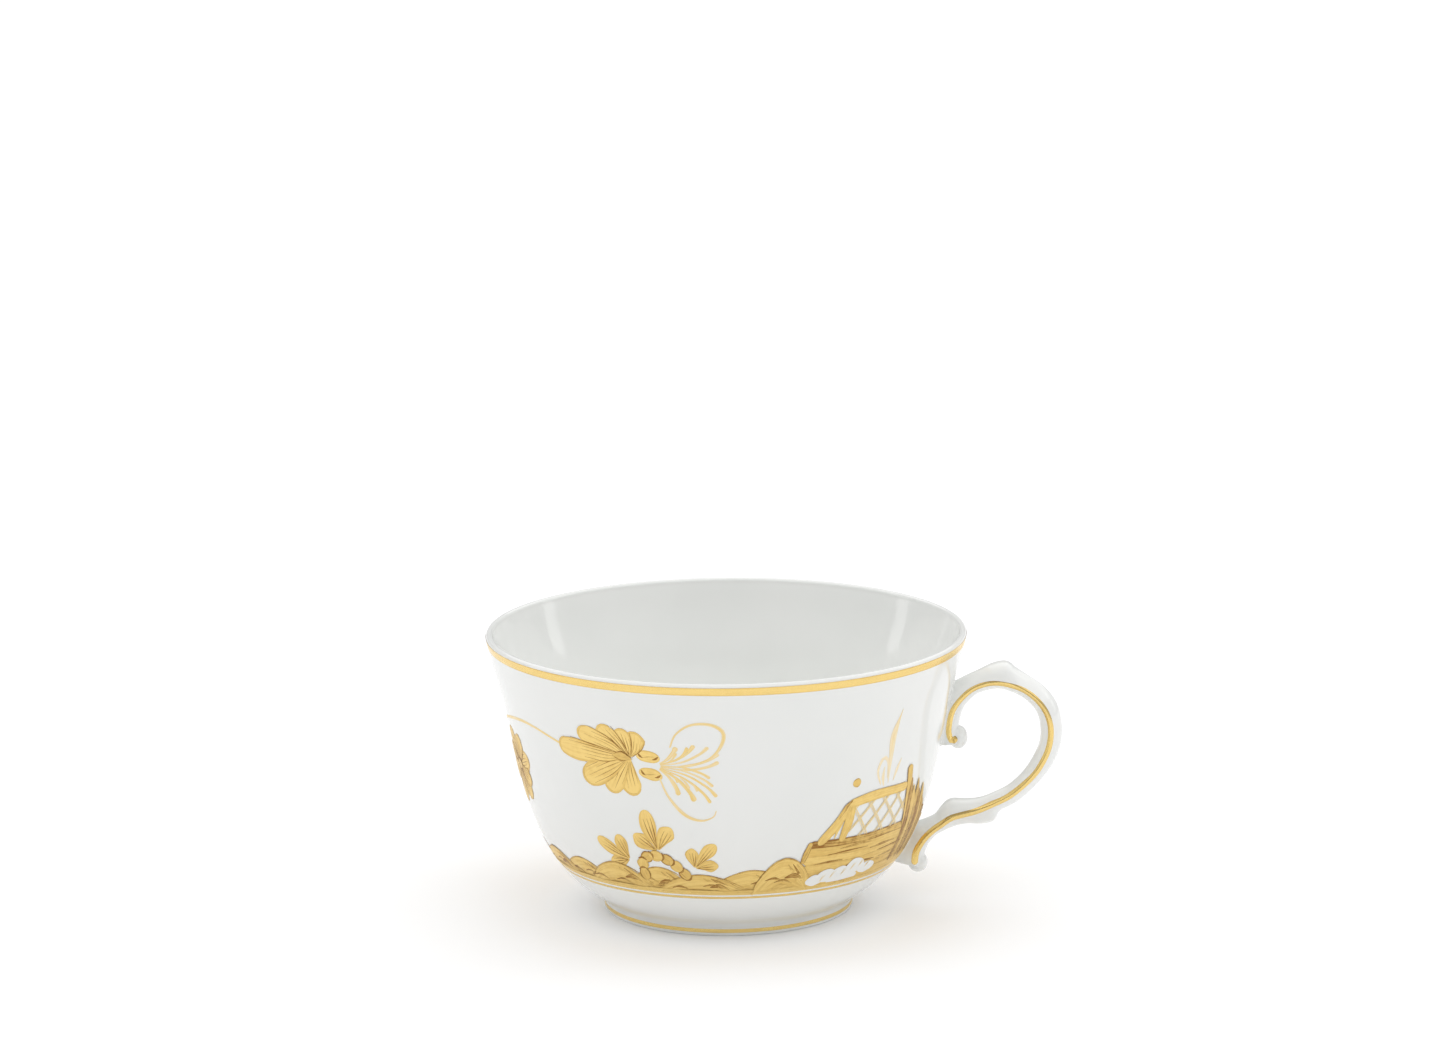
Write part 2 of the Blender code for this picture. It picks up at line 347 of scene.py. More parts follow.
def glaze_group():
    """Slow waves, fine dimples and pooling of a fired glaze."""
    name = "Fired glaze"
    if name in bpy.data.node_groups:
        return bpy.data.node_groups[name]
    tree, given, result = new_group(
        name,
        [("Vector", "NodeSocketVector"), ("Wave size", "NodeSocketFloat")],
        [("Pooling", "NodeSocketFloat"), ("Height", "NodeSocketFloat"), ("Sheen", "NodeSocketFloat")],
    )
    place = given.outputs["Vector"]
    scale = maths(tree, "DIVIDE", 1.0, given.outputs["Wave size"])
    waves = noise(tree, place, scale, 1.5)
    dimples = noise(tree, place, maths(tree, "MULTIPLY", scale, 14.0), 2.0)
    clouds = noise(tree, place, maths(tree, "MULTIPLY", scale, 0.45), 3.0)
    height = maths(tree, "ADD", waves, maths(tree, "MULTIPLY", dimples, 0.012))
    tree.links.new(spread(tree, clouds, 0.38, 0.68), result.inputs["Pooling"])
    tree.links.new(height, result.inputs["Height"])
    tree.links.new(dimples, result.inputs["Sheen"])
    return tree


def brush_group():
    """Hair streaks along a brush stroke, and paint pooled at its edges."""
    name = "Brush work"
    if name in bpy.data.node_groups:
        return bpy.data.node_groups[name]
    tree, given, result = new_group(
        name,
        [("Stroke", "NodeSocketVector"), ("Grain", "NodeSocketFloat"), ("Hairs", "NodeSocketFloat")],
        [("Streak", "NodeSocketFloat"), ("Pool", "NodeSocketFloat"), ("Tone", "NodeSocketFloat")],
    )
    parts = add_node(tree, "ShaderNodeSeparateXYZ", {"Vector": given.outputs["Stroke"]})
    along, across, tone = parts.outputs
    grain = given.outputs["Grain"]
    # The grain shifts each stroke's streaks, so that no two strokes look alike
    shifted = maths(tree, "ADD", maths(tree, "MULTIPLY", along, 0.22), maths(tree, "MULTIPLY", grain, 31.0))
    spaced = maths(tree, "MULTIPLY", across, given.outputs["Hairs"])
    hairs = add_node(tree, "ShaderNodeCombineXYZ", {"X": shifted, "Y": spaced, "Z": grain}).outputs[0]
    streak = noise(tree, hairs, 1.0, 4.0)
    edge = maths(tree, "ABSOLUTE", maths(tree, "SUBTRACT", maths(tree, "MULTIPLY", across, 2.0), 1.0))
    tree.links.new(streak, result.inputs["Streak"])
    tree.links.new(spread(tree, edge, 0.62, 1.0), result.inputs["Pool"])
    tree.links.new(tone, result.inputs["Tone"])
    return tree


def brush_marks(tree, hairs):
    """(streak, pool, tone) of a painted piece, read from its stroke and grain attributes."""
    values = {
        "Stroke": add_node(tree, "ShaderNodeAttribute", attribute_name="stroke").outputs["Vector"],
        "Grain": add_node(tree, "ShaderNodeAttribute", attribute_name="grain").outputs["Fac"],
        "Hairs": hairs,
    }
    return add_node(tree, "ShaderNodeGroup", values, node_tree=brush_group()).outputs


def new_material(name):
    """(material, node tree, Principled node) with nothing else in the tree."""
    made = bpy.data.materials.new(name)
    made.use_nodes = True
    return made, made.node_tree, made.node_tree.nodes["Principled BSDF"]


def porcelain(glaze):
    """White porcelain under a clear glaze."""
    if "Glazed porcelain" in bpy.data.materials:
        return bpy.data.materials["Glazed porcelain"]
    made, tree, shader = new_material("Glazed porcelain")
    place = add_node(tree, "ShaderNodeTexCoord").outputs["Object"]
    values = {"Vector": place, "Wave size": 16 * MM}
    effect = add_node(tree, "ShaderNodeGroup", values, node_tree=glaze_group())
    pooling, height, sheen = effect.outputs
    colour = blend_colours(tree, pooling, tuple(glaze.colour), tuple(glaze.pooled))
    tree.links.new(colour, shader.inputs["Base Color"])
    tree.links.new(spread(tree, sheen, 0.2, 0.8, 0.05, 0.11), shader.inputs["Roughness"])
    bump_surface(tree, shader, height, 1.0, glaze.waver)
    shader.inputs["IOR"].default_value = 1.52
    return made


def bare_clay(glaze):
    """The foot's unglazed lower edge, slightly sandy and stained by use."""
    made, tree, shader = new_material("Bare clay")
    place = add_node(tree, "ShaderNodeTexCoord").outputs["Object"]
    sand = noise(tree, place, 2600.0, 4.0)
    stain = noise(tree, place, 140.0, 3.0)
    worn = tuple(value * 0.72 for value in glaze.biscuit[:3]) + (1.0,)
    stained = spread(tree, stain, 0.45, 0.75, 0.0, 0.5)
    share = maths(tree, "ADD", stained, spread(tree, sand, 0.5, 0.8, 0.0, 0.3))
    tree.links.new(blend_colours(tree, share, tuple(glaze.biscuit), worn), shader.inputs["Base Color"])
    tree.links.new(spread(tree, sand, 0.2, 0.8, 0.62, 0.9), shader.inputs["Roughness"])
    bump_surface(tree, shader, sand, 0.6, 0.05 * MM)
    return made


def painted_gold(gilding, name, hairs, contrast, pooling, smooth=0.30):
    """Gold laid on by brush. contrast is how far the hair streaks change its tone, and pooling its edges.

    smooth is its lowest roughness, where it was burnished most."""
    made, tree, shader = new_material(name)
    streak, pool, tone = brush_marks(tree, hairs)
    mottle = noise(tree, add_node(tree, "ShaderNodeTexCoord").outputs["Object"], 900.0, 3.0)
    streaks = maths(tree, "MULTIPLY", maths(tree, "SUBTRACT", streak, 0.5), contrast)
    spots = maths(tree, "MULTIPLY", maths(tree, "SUBTRACT", mottle, 0.5), 0.5 * contrast)
    change = maths(tree, "ADD", maths(tree, "ADD", streaks, spots), maths(tree, "MULTIPLY", pool, pooling))
    depth = maths(tree, "ADD", tone, change, clamp=True)
    lower = blend_colours(tree, spread(tree, depth, 0.0, 0.5), tuple(gilding.light), tuple(gilding.middle))
    colour = blend_colours(tree, spread(tree, depth, 0.5, 1.0), lower, tuple(gilding.dark))
    tree.links.new(colour, shader.inputs["Base Color"])
    tree.links.new(spread(tree, streak, 0.2, 0.8, smooth, smooth + 0.18), shader.inputs["Roughness"])
    bump_surface(tree, shader, streak, 0.35, 0.04 * MM)
    shader.inputs["Metallic"].default_value = 0.85
    return made


def pale_wash(gilding):
    """Gold thinned to a wash, so that the white glaze shows through it."""
    made, tree, shader = new_material("Pale gold wash")
    streak, _, tone = brush_marks(tree, 3.0)
    glaze_white = (0.95, 0.93, 0.88, 1.0)
    thin = tuple(0.45 * value + 0.55 * white for value, white in zip(gilding.light, glaze_white))
    share = maths(tree, "ADD", tone, spread(tree, streak, 0.3, 0.7, -0.15, 0.35), clamp=True)
    tree.links.new(blend_colours(tree, share, thin, tuple(gilding.light)), shader.inputs["Base Color"])
    tree.links.new(spread(tree, streak, 0.2, 0.8, 0.25, 0.45), shader.inputs["Roughness"])
    shader.inputs["Metallic"].default_value = 0.35
    return made


# Meshes


def add_object(name, data):
    """A new object in the scene."""
    made = bpy.data.objects.new(name, data)
    bpy.context.scene.collection.objects.link(made)
    return made


def finish_piece(bm, name, materials, nodes=()):
    """Makes the bmesh a shown piece that rides on the cup and stands for the CAD nodes."""
    bmesh.ops.remove_doubles(bm, verts=bm.verts, dist=MERGE)
    bmesh.ops.recalc_face_normals(bm, faces=bm.faces)
    mesh = bpy.data.meshes.new(name)
    bm.to_mesh(mesh)
    bm.free()
    mesh.shade_smooth()
    mesh.set_sharp_from_angle(angle=math.radians(40))
    for material in materials:
        mesh.materials.append(material)
    piece = add_object(name, mesh)
    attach(piece, "root")
    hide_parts(*nodes)
    return piece


def turned(outline, steps, closed):
    """A bmesh of the (radius, height) outline turned once round the bowl's axis."""
    bm = bmesh.new()
    verts = [bm.verts.new((point[0], 0.0, point[1])) for point in outline]
    ends = verts[1:] + verts[:1] if closed else verts[1:]
    edges = [bm.edges.new(pair) for pair in zip(verts, ends)]
    bmesh.ops.spin(
        bm, geom=verts + edges, cent=(0, 0, 0), axis=(0, 0, 1), angle=math.tau, steps=steps, use_merge=True
    )
    bmesh.ops.remove_doubles(bm, verts=bm.verts, dist=MERGE)
    bmesh.ops.translate(bm, vec=(AXIS_X, 0, 0), verts=bm.verts)
    bmesh.ops.recalc_face_normals(bm, faces=bm.faces)
    return bm


def make_bowl(settings):
    """The bowl: a base hollowed underneath, the round wall, the lip and the inside with its soft floor."""
    base = OUTSIDE[0].x
    under = [(0.0, BASE_Z + 0.35 * MM), (0.4 * base, BASE_Z + 0.3 * MM), (0.86 * base, BASE_Z)]
    corner = INSIDE[0]
    floor = [
        corner,
        (0.72 * corner.x, corner.y - 0.12 * MM),
        (0.36 * corner.x, corner.y - 0.2 * MM),
        (0.0, corner.y - 0.22 * MM),
    ]
    outer = [point for point in OUTSIDE if point.y < RIM_Z - 1.3 * MM]
    inner = [
        Vector((point.x + LIP_TAPER * ease((point.y / RIM_Z - 0.45) / 0.55), point.y))
        for point in INSIDE if point.y < RIM_Z - 1.6 * MM
    ]
    lip = smooth_curve([outer[-1], *[(RIM_RADIUS - x * MM, RIM_Z - z * MM) for x, z in LIP], inner[-1]], 4)
    outline = [*smooth_curve(under, 6), *outer, *lip[1:-1], *inner[::-1], *smooth_curve(floor, 4)[1:]]
    bm = turned(outline, settings.body.turn_steps, closed=False)
    return finish_piece(bm, "glazed_bowl", [porcelain(settings.glaze)], ["bowl"])


def make_foot(settings):
    """The foot ring: its wall flows into the bowl above, and its lower edge is bare clay."""
    fillet = settings.body.foot_fillet
    edge = settings.body.foot_round
    inner = min(point.x for point in cad_outline("foot_ring", -1))
    turns = [math.radians(turn) for turn in range(0, 91, 15)]
    quarter = [(1 - math.cos(turn), 1 - math.sin(turn)) for turn in turns]
    outer_edge = [(FOOT_RADIUS - edge * x, edge * y) for x, y in quarter]
    inner_edge = [(inner + edge * x, edge * y) for x, y in quarter]
    outer_side = smooth_curve(
        [
            (FOOT_RADIUS, edge),
            (FOOT_RADIUS, BASE_Z - 0.85 * fillet),
            (FOOT_RADIUS + 0.08 * fillet, BASE_Z - 0.45 * fillet),
            (FOOT_RADIUS + 0.38 * fillet, BASE_Z),
            (FOOT_RADIUS + 0.96 * fillet, BASE_Z + 0.48 * fillet),
            (FOOT_RADIUS + 1.70 * fillet, BASE_Z + 1.02 * fillet),
            (FOOT_RADIUS + 2.30 * fillet, BASE_Z + 1.52 * fillet),
        ],
        4,
    )
    inner_side = smooth_curve(
        [
            (inner, edge),
            (inner, BASE_Z - fillet),
            (inner - 0.2 * fillet, BASE_Z - 0.3 * fillet),
            (inner - 0.9 * fillet, BASE_Z + 0.1 * fillet),
        ],
        4,
    )
    # The top is hidden inside the bowl's base
    hidden = [
        (FOOT_RADIUS + 1.5 * MM, BASE_Z + 1.6 * MM),
        (FOOT_RADIUS, BASE_Z + 0.8 * MM),
        (inner - 0.5 * MM, BASE_Z + 0.8 * MM),
    ]
    outline = [*outer_edge[::-1], *outer_side[1:], *hidden, *inner_side[::-1], *inner_edge[1:]]
    bm = turned(outline, settings.body.turn_steps, closed=True)
    for face in bm.faces:
        faces_down = face.normal.z < -0.9
        face.material_index = int(faces_down and face.calc_center_median().z < 0.1 * edge)
    materials = [porcelain(settings.glaze), bare_clay(settings.glaze)]
    return finish_piece(bm, "glazed_foot_ring", materials, ["foot_ring"])


# Handle

# Crest of the handle from the upper scroll to the lower, in mm: distance from the bowl's axis, height,
# depth of the outer side, depth of the finger side and half width. Then how square the outer and the finger
# side are, where 1.5 is a blunt edge and 3 is nearly flat
HANDLE = [
    (44.5, 32.7, 5.2, 1.4, 3.2, 1.6, 1.6),
    (44.1, 36.3, 4.8, 1.9, 3.2, 1.6, 1.6),
    (45.2, 40.6, 4.0, 2.0, 3.1, 1.6, 1.7),
    (48.1, 43.7, 2.5, 1.9, 3.0, 1.7, 1.7),
    (50.8, 44.9, 2.5, 1.9, 3.1, 2.0, 1.7),
    (53.0, 45.3, 3.2, 1.9, 3.2, 2.7, 1.7),
    (54.9, 45.2, 3.7, 1.9, 3.2, 3.0, 1.7),
    (56.3, 44.8, 3.0, 1.9, 3.1, 2.2, 1.7),
    (58.6, 43.8, 2.5, 1.9, 3.0, 1.6, 1.7),
    (61.3, 41.8, 2.5, 1.9, 3.0, 1.5, 1.7),
    (63.3, 39.0, 2.5, 1.9, 3.0, 1.5, 1.7),
    (64.15, 35.4, 2.35, 2.0, 2.95, 1.5, 1.7),
    (63.8, 32.0, 2.35, 1.9, 2.9, 1.5, 1.7),
    (62.3, 28.6, 2.35, 1.8, 2.9, 1.5, 1.7),
    (59.7, 25.3, 2.35, 1.5, 2.85, 1.5, 1.6),
    (56.4, 22.4, 2.4, 1.4, 2.85, 1.6, 1.6),
    (53.0, 20.65, 2.5, 1.45, 2.85, 1.8, 1.6),
    (51.6, 20.0, 3.7, 1.5, 2.9, 2.4, 1.8),
    (49.6, 19.2, 3.5, 1.8, 2.9, 2.2, 2.2),
    (47.2, 18.5, 2.7, 2.4, 2.9, 1.8, 2.8),
    (45.2, 17.95, 2.5, 3.0, 2.9, 1.6, 3.0),
    (43.9, 17.3, 2.3, 2.6, 2.85, 1.5, 2.4),
    (42.3, 16.2, 1.9, 2.0, 2.85, 1.5, 1.7),
    (40.4, 14.8, 1.6, 2.6, 2.9, 1.5, 1.6),
    (38.6, 12.8, 1.6, 4.6, 3.0, 1.6, 1.6),
    (37.4, 10.4, 1.8, 5.4, 3.1, 1.7, 1.6),
    (36.9, 7.9, 1.7, 5.4, 3.1, 1.8, 1.6),
]
UPPER_SCROLL = (45.85, 33.6, 1.9, 2.3)  # centre, then half width and half height, in mm
LOWER_SCROLL = (37.75, 8.15, 2.0, 2.05)
SCROLL_HALF_DEPTH = 2.7
HANDLE_STATIONS = 150
SECTION_POINTS = 44

# Gilt line along the crest, hooked back into the upper scroll, in mm: distance from the axis, height
HANDLE_LINE = [
    (45.1, 33.9), (44.65, 33.5), (44.15, 34.0), (43.85, 35.5), (44.0, 37.2), (44.6, 39.6), (46.1, 41.8),
    (48.3, 43.8), (50.8, 44.9), (53.2, 45.2), (56.0, 44.7), (58.7, 43.7), (61.1, 41.9), (62.9, 39.6),
    (63.9, 37.0), (64.1, 34.5), (63.7, 31.9), (62.7, 29.4), (61.0, 26.6), (58.5, 24.1), (55.5, 21.8),
    (52.2, 20.3), (49.3, 19.1), (46.3, 18.3), (44.3, 17.7), (42.3, 16.3), (40.6, 15.1), (38.7, 13.2),
    (37.3, 10.8), (37.0, 8.3),
]


def handle_section(station, along, ridge):
    """Points round one section of the handle. The crest on each flank is a rounded ridge."""
    x, z, outer, inner, width, outer_square, inner_square = station
    outward = Vector((-along.y, along.x))
    crest_width = 0.55  # mm
    points = []
    for k in range(SECTION_POINTS):
        turn = math.tau * k / SECTION_POINTS
        across, side = math.cos(turn), math.sin(turn)
        depth, square = (outer, outer_square) if across > 0 else (inner, inner_square)
        out = math.copysign(abs(across) ** (2 / square), across) * depth
        out_y = math.copysign(abs(side) ** (2 / square), side) * width
        if abs(side) > 0.5:
            out_y += ridge / MM * math.exp(-((out / crest_width) ** 2)) * math.copysign(1, side)
        place = Vector((x, z)) + outward * out
        points.append(Vector((AXIS_X + place.x * MM, out_y * MM, place.y * MM)))
    return points


def sweep(bm, sections):
    """A closed body carried through the sections."""
    start = face = bm.faces.new([bm.verts.new(point) for point in sections[0]])
    for section in sections[1:]:
        made = bmesh.ops.extrude_face_region(bm, geom=[face])["geom"]
        if face is not start:
            bm.faces.remove(face)
        face = next(part for part in made if isinstance(part, bmesh.types.BMFace))
        for vert, point in zip(face.verts, section):
            vert.co = point


def add_scroll(bm, scroll):
    """The rounded button that ends a scroll."""
    x, z, half_width, half_height = scroll
    verts = bmesh.ops.create_uvsphere(bm, u_segments=32, v_segments=20, radius=MM)["verts"]
    bmesh.ops.scale(bm, vec=(half_width, SCROLL_HALF_DEPTH, half_height), verts=verts)
    bmesh.ops.translate(bm, vec=(AXIS_X + x * MM, 0, z * MM), verts=verts)


def wall_patch(depth, thickness, low, high, half_angle):
    """A mesh of a strip of the bowl's wall behind the handle, which the roots blend into."""
    bm = bmesh.new()
    outer = [Vector((point.x - depth, point.y)) for point in OUTSIDE if low <= point.y <= high]
    outline = outer + [Vector((point.x - thickness, point.y)) for point in reversed(outer)]
    verts = [bm.verts.new((point.x, 0.0, point.y)) for point in outline]
    face = bm.faces.new(verts)
    start = Quaternion((0, 0, 1), -half_angle).to_matrix()
    bmesh.ops.rotate(bm, cent=(0, 0, 0), matrix=start, verts=verts)
    bmesh.ops.spin(bm, geom=[face], cent=(0, 0, 0), axis=(0, 0, 1), angle=2 * half_angle, steps=20)
    bmesh.ops.translate(bm, vec=(AXIS_X, 0, 0), verts=bm.verts)
    bmesh.ops.recalc_face_normals(bm, faces=bm.faces)
    patch = bpy.data.meshes.new("patch")
    bm.to_mesh(patch)
    bm.free()
    return patch


def smooth(bm, verts, passes):
    """Smooths the mesh at these corners."""
    axes = {"use_axis_x": True, "use_axis_y": True, "use_axis_z": True}
    for _ in range(passes):
        bmesh.ops.smooth_vert(bm, verts=verts, factor=0.5, **axes)


def blended(bm, voxel):
    """The bmesh's overlapping bodies blended into one, as a new bmesh."""
    mesh = bpy.data.meshes.new("blend")
    bm.to_mesh(mesh)
    bm.free()
    body = add_object("blend", mesh)
    remesh = body.modifiers.new("Blend", "REMESH")
    remesh.mode = "VOXEL"
    remesh.voxel_size = voxel
    made = bmesh.new()
    made.from_object(body, bpy.context.evaluated_depsgraph_get())
    bpy.data.objects.remove(body)
    bpy.data.meshes.remove(mesh)
    return made


def handle_stations():
    """(station, direction) along the handle's crest."""
    places = even_curve(HANDLE, HANDLE_STATIONS, dims=2)
    stations = []
    for i, place in enumerate(places):
        ahead, behind = places[min(i + 1, len(places) - 1)], places[max(i - 1, 0)]
        stations.append((place, Vector((ahead[0] - behind[0], ahead[1] - behind[1])).normalized()))
    return stations


def wall_gap(co):
    """How far a point stands off the bowl's outside, measured level."""
    radius = math.hypot(co.x - AXIS_X, co.y)
    height = min(max(co.z, OUTSIDE[0].y), OUTSIDE[-1].y)
    return radius - WALL.at_height(height)[1]


def make_handle(settings):
    """The cast scroll handle, softened under its glaze and blended into the bowl at both roots."""
    handle = settings.handle
    bm = bmesh.new()
    sweep(bm, [handle_section(station, along, handle.ridge) for station, along in handle_stations()])
    add_scroll(bm, UPPER_SCROLL)
    add_scroll(bm, LOWER_SCROLL)
    bmesh.ops.recalc_face_normals(bm, faces=bm.faces)
    patch = wall_patch(
        depth=0.10 * MM, thickness=1.2 * MM, low=4.0 * MM, high=50.0 * MM, half_angle=math.radians(10)
    )
    bm.from_mesh(patch)
    bpy.data.meshes.remove(patch)
    bm = blended(bm, handle.voxel)
    smooth(bm, bm.verts, 2)
    near = [vert for vert in bm.verts if -0.4 * MM < wall_gap(vert.co) < 0.9 * MM]
    smooth(bm, near, handle.fillet_passes)
    nodes = ["handle", "upper_slip_joint", "lower_slip_joint"]
    piece = finish_piece(bm, "glazed_handle", [porcelain(settings.glaze)], nodes)
    pare_to_bowl(piece, depth=0.03 * MM)
    return piece


def drop_folded_faces(mesh):
    """Deletes pairs of triangles that lie back to back on the same corners, which a cut can leave."""
    bm = bmesh.new()
    bm.from_mesh(mesh)
    bmesh.ops.triangulate(bm, faces=bm.faces)
    sides = {}
    for face in bm.faces:
        sides.setdefault(frozenset(vert.index for vert in face.verts), []).append(face)
    folded = [face for faces in sides.values() if len(faces) > 1 for face in faces]
    bmesh.ops.delete(bm, geom=folded, context="FACES")
    bm.to_mesh(mesh)
    bm.free()


def pare_to_bowl(piece, depth):
    """Cuts away what lies more than depth inside the bowl's outside."""
    bottom = OUTSIDE[0].y - MM
    outline = [(0.0, bottom), (OUTSIDE[0].x - depth, bottom)]
    outline += [(point.x - depth, point.y) for point in OUTSIDE]
    outline += [(0.0, OUTSIDE[-1].y)]
    mesh = bpy.data.meshes.new("core")
    bm = turned(outline, 256, closed=False)
    bm.to_mesh(mesh)
    bm.free()
    core = add_object("core", mesh)
    cut = piece.modifiers.new("Pare", "BOOLEAN")
    cut.operation = "DIFFERENCE"
    cut.object = core
    pared = bpy.data.meshes.new_from_object(piece.evaluated_get(bpy.context.evaluated_depsgraph_get()))
    piece.modifiers.remove(cut)
    drop_folded_faces(pared)
    piece.data = pared
    pared.name = piece.name
    pared.shade_smooth()
    bpy.data.objects.remove(core)
    bpy.data.meshes.remove(mesh)


# Painting


class Brush:
    """Width along a stroke, as shares of its full width: at its start, at its belly and at its end."""

    def __init__(self, start, belly, end, belly_at=0.5, rounding=1.0):
        self.start = start
        self.belly = belly
        self.end = end
        self.belly_at = belly_at
        self.rounding = rounding

    def share(self, along, blunt):
        """Share of the full width. The ends are rounded over blunt, the half width's share of the length."""
        if along < self.belly_at:
            part = ease(along / self.belly_at)
            width = self.start + (self.belly - self.start) * part
        else:
            part = ease((along - self.belly_at) / (1 - self.belly_at))
            width = self.belly + (self.end - self.belly) * part
        nearest = min(along, 1 - along)
        reach = max(blunt * self.rounding, 1e-4)
        if nearest < reach:
            width *= math.sqrt(max(0.0, 1 - (1 - nearest / reach) ** 2))
        return width


def ease(value):
    """The value from 0 to 1 with a soft start and end."""
    value = min(1.0, max(0.0, value))
    return value * value * (3 - 2 * value)


LINE = Brush(0.9, 1.0, 0.85)
HAIR = Brush(0.45, 1.0, 0.3)
PETAL = Brush(0.25, 1.0, 0.75, 0.68)
LEAF = Brush(0.35, 1.0, 0.2, 0.45)
DAB = Brush(0.7, 1.0, 0.7)
TIP = Brush(0.25, 0.7, 1.0, 0.8)
REED = Brush(0.6, 1.0, 0.3, 0.8)
ROUND = Brush(1.0, 1.0, 1.0)
PLUME = Brush(0.15, 1.0, 0.1, 0.62)

LEVEL_STEP = 1.15  # films from one level to the next
STAGGER = 1.5e-7  # metres from one stroke's height to the next
STAGGERED = 37  # strokes before the staggered heights start again


class Painter:
    """Brush strokes of gold gathered into one mesh. Each is a thin closed film on a surface.

    surface is a function from (x, y) in mm, and a lift in metres, to a point."""

    def __init__(self, gilding, seed, surface):
        self.gilding = gilding
        self.surface = surface
        self.hand = random.Random(seed)
        self.bm = bmesh.new()
        self.stroke_layer = self.bm.verts.layers.float_vector.new("stroke")
        self.grain_layer = self.bm.verts.layers.float.new("grain")
        self.strokes = 0

    def base_lift(self, level):
        """How high a film starts. Each stroke has its own height, so that no two films share a face."""
        film = self.gilding.film
        return self.gilding.lift + level * film * LEVEL_STEP + (self.strokes % STAGGERED) * STAGGER

    def stroke(self, points, width, tone=0.3, level=0, brush=LINE, fade=0.0, steps=0, rows=0):
        """Paints one stroke through points in mm. A higher level lies over a lower one.

        fade is how much darker the tone grows along the stroke."""
        curve = even_curve([Vector(p) for p in points], 2 * len(points) + 22)
        length = sum((b - a).length for a, b in zip(curve, curve[1:]))
        steps = steps or max(10, min(90, round(length / 0.5)))
        rows = rows or max(2, round(width / 0.55))
        blunt = 0.5 * width / max(length, 1e-6)
        grain = self.hand.random()
        waver = self.hand.random() * math.tau
        base = self.base_lift(level)
        verts = bmesh.ops.create_grid(self.bm, x_segments=steps, y_segments=rows, size=0.5)["verts"]
        faces = list(dict.fromkeys(face for vert in verts for face in vert.link_faces))
        where = {}
        for vert in verts:
            # Cosine spacing puts more of the grid at the rounded ends
            along = 0.5 - 0.5 * math.cos(math.pi * (vert.co.x + 0.5))
            across = vert.co.y + 0.5
            step = min(int(along * (len(curve) - 1)), len(curve) - 2)
            part = along * (len(curve) - 1) - step
            place = curve[step].lerp(curve[step + 1], part)
            ahead = curve[min(step + 2, len(curve) - 1)] - curve[max(step - 1, 0)]
            left = Vector((-ahead.y, ahead.x)).normalized()
            half = 0.5 * width * brush.share(along, blunt) * (1 + 0.05 * math.sin(waver + 9 * along))
            place = place + left * half * (2 * across - 1)
            vert[self.stroke_layer] = (along * length, across, tone + fade * along)
            vert[self.grain_layer] = grain
            where[vert] = place
        made = bmesh.ops.extrude_face_region(self.bm, geom=faces)["geom"]
        top = [part for part in made if isinstance(part, bmesh.types.BMVert)]
        # A corner of the top has the same stroke values as the one below it
        below = {tuple(vert[self.stroke_layer]): place for vert, place in where.items()}
        for vert in top:
            place = below[tuple(vert[self.stroke_layer])]
            vert.co = self.surface(place.x, place.y, base + self.gilding.film)
        for vert, place in where.items():
            vert.co = self.surface(place.x, place.y, base)
        self.strokes += 1

    def dot(self, x, y, size, tone=0.4, level=0):
        """Paints a round dot, as a stroke as wide as it is long."""
        ends = [(x - 0.5 * size, y), (x + 0.5 * size, y)]
        self.stroke(ends, size, tone, level, ROUND, steps=14, rows=6)

    def finish(self, name, material, nodes=()):
        """Makes the strokes so far one shown piece."""
        return finish_piece(self.bm, name, [material], nodes)


def flat(degrees, height_mm):
    """Flat drawing place, in mm, of an angle and a height on the bowl's wall."""
    return math.radians(degrees) * DRAWING_RADIUS, WALL.at_height(height_mm * MM)[0] / MM


def turned_path(turn, places):
    """Flat drawing places, in mm, of (degrees, height in mm) places turned round the bowl."""
    return [flat(turn + degrees, height) for degrees, height in places]


def on_wall(x, y, lift):
    """The point on the bowl's wall of a flat drawing place in mm."""
    return WALL.point(x / DRAWING_RADIUS, y * MM, lift)


def placed(points, x, y, turn=0.0, size=1.0):
    """The points turned by degrees, sized and moved to (x, y)."""
    cosine, sine = size * math.cos(math.radians(turn)), size * math.sin(math.radians(turn))
    return [(x + cosine * u - sine * v, y + sine * u + cosine * v) for u, v in points]


def arc(x, radius, start, end):
    """Points along an arc round (x, 0), from one angle in degrees to another."""
    spans = 6
    turns = [math.radians(start + (end - start) * i / spans) for i in range(spans + 1)]
    return [(x + radius * math.cos(turn), radius * math.sin(turn)) for turn in turns]


def paint_petal(painter, x, y, turn, length, width, tone, level):
    """One petal out from its heart: a broad dab, a darker edge, its far end turned over, and fine veins."""
    hand = painter.hand
    bend = hand.uniform(-0.06, 0.06) * length
    spine = [(0, 0), (0.5 * length, bend), (length, 0)]
    painter.stroke(placed(spine, x, y, turn), width, tone + 0.14, level, PETAL, fade=-0.16)
    edge = arc(length - 0.47 * width, 0.42 * width, -80, 80)
    painter.stroke(placed(edge, x, y, turn), 0.5, tone + 0.4, level + 1, HAIR, fade=-0.15)
    for side in (-0.30, -0.16, -0.03, 0.12, 0.27):
        far = hand.uniform(0.6, 0.86)
        vein = [
            (0.1 * length, 0.2 * side * width),
            (0.5 * far * length, side * width + bend),
            (far * length, 1.1 * side * width),
        ]
        painter.stroke(placed(vein, x, y, turn), 0.12, tone + hand.uniform(0.55, 0.95), level + 1, HAIR)
    fold = [
        (0.04 * length, -0.10 * width), (0.45 * length, -0.40 * width + bend), (0.8 * length, -0.5 * width),
    ]
    painter.stroke(placed(fold, x, y, turn), 0.2, 0.85, level + 1, HAIR)


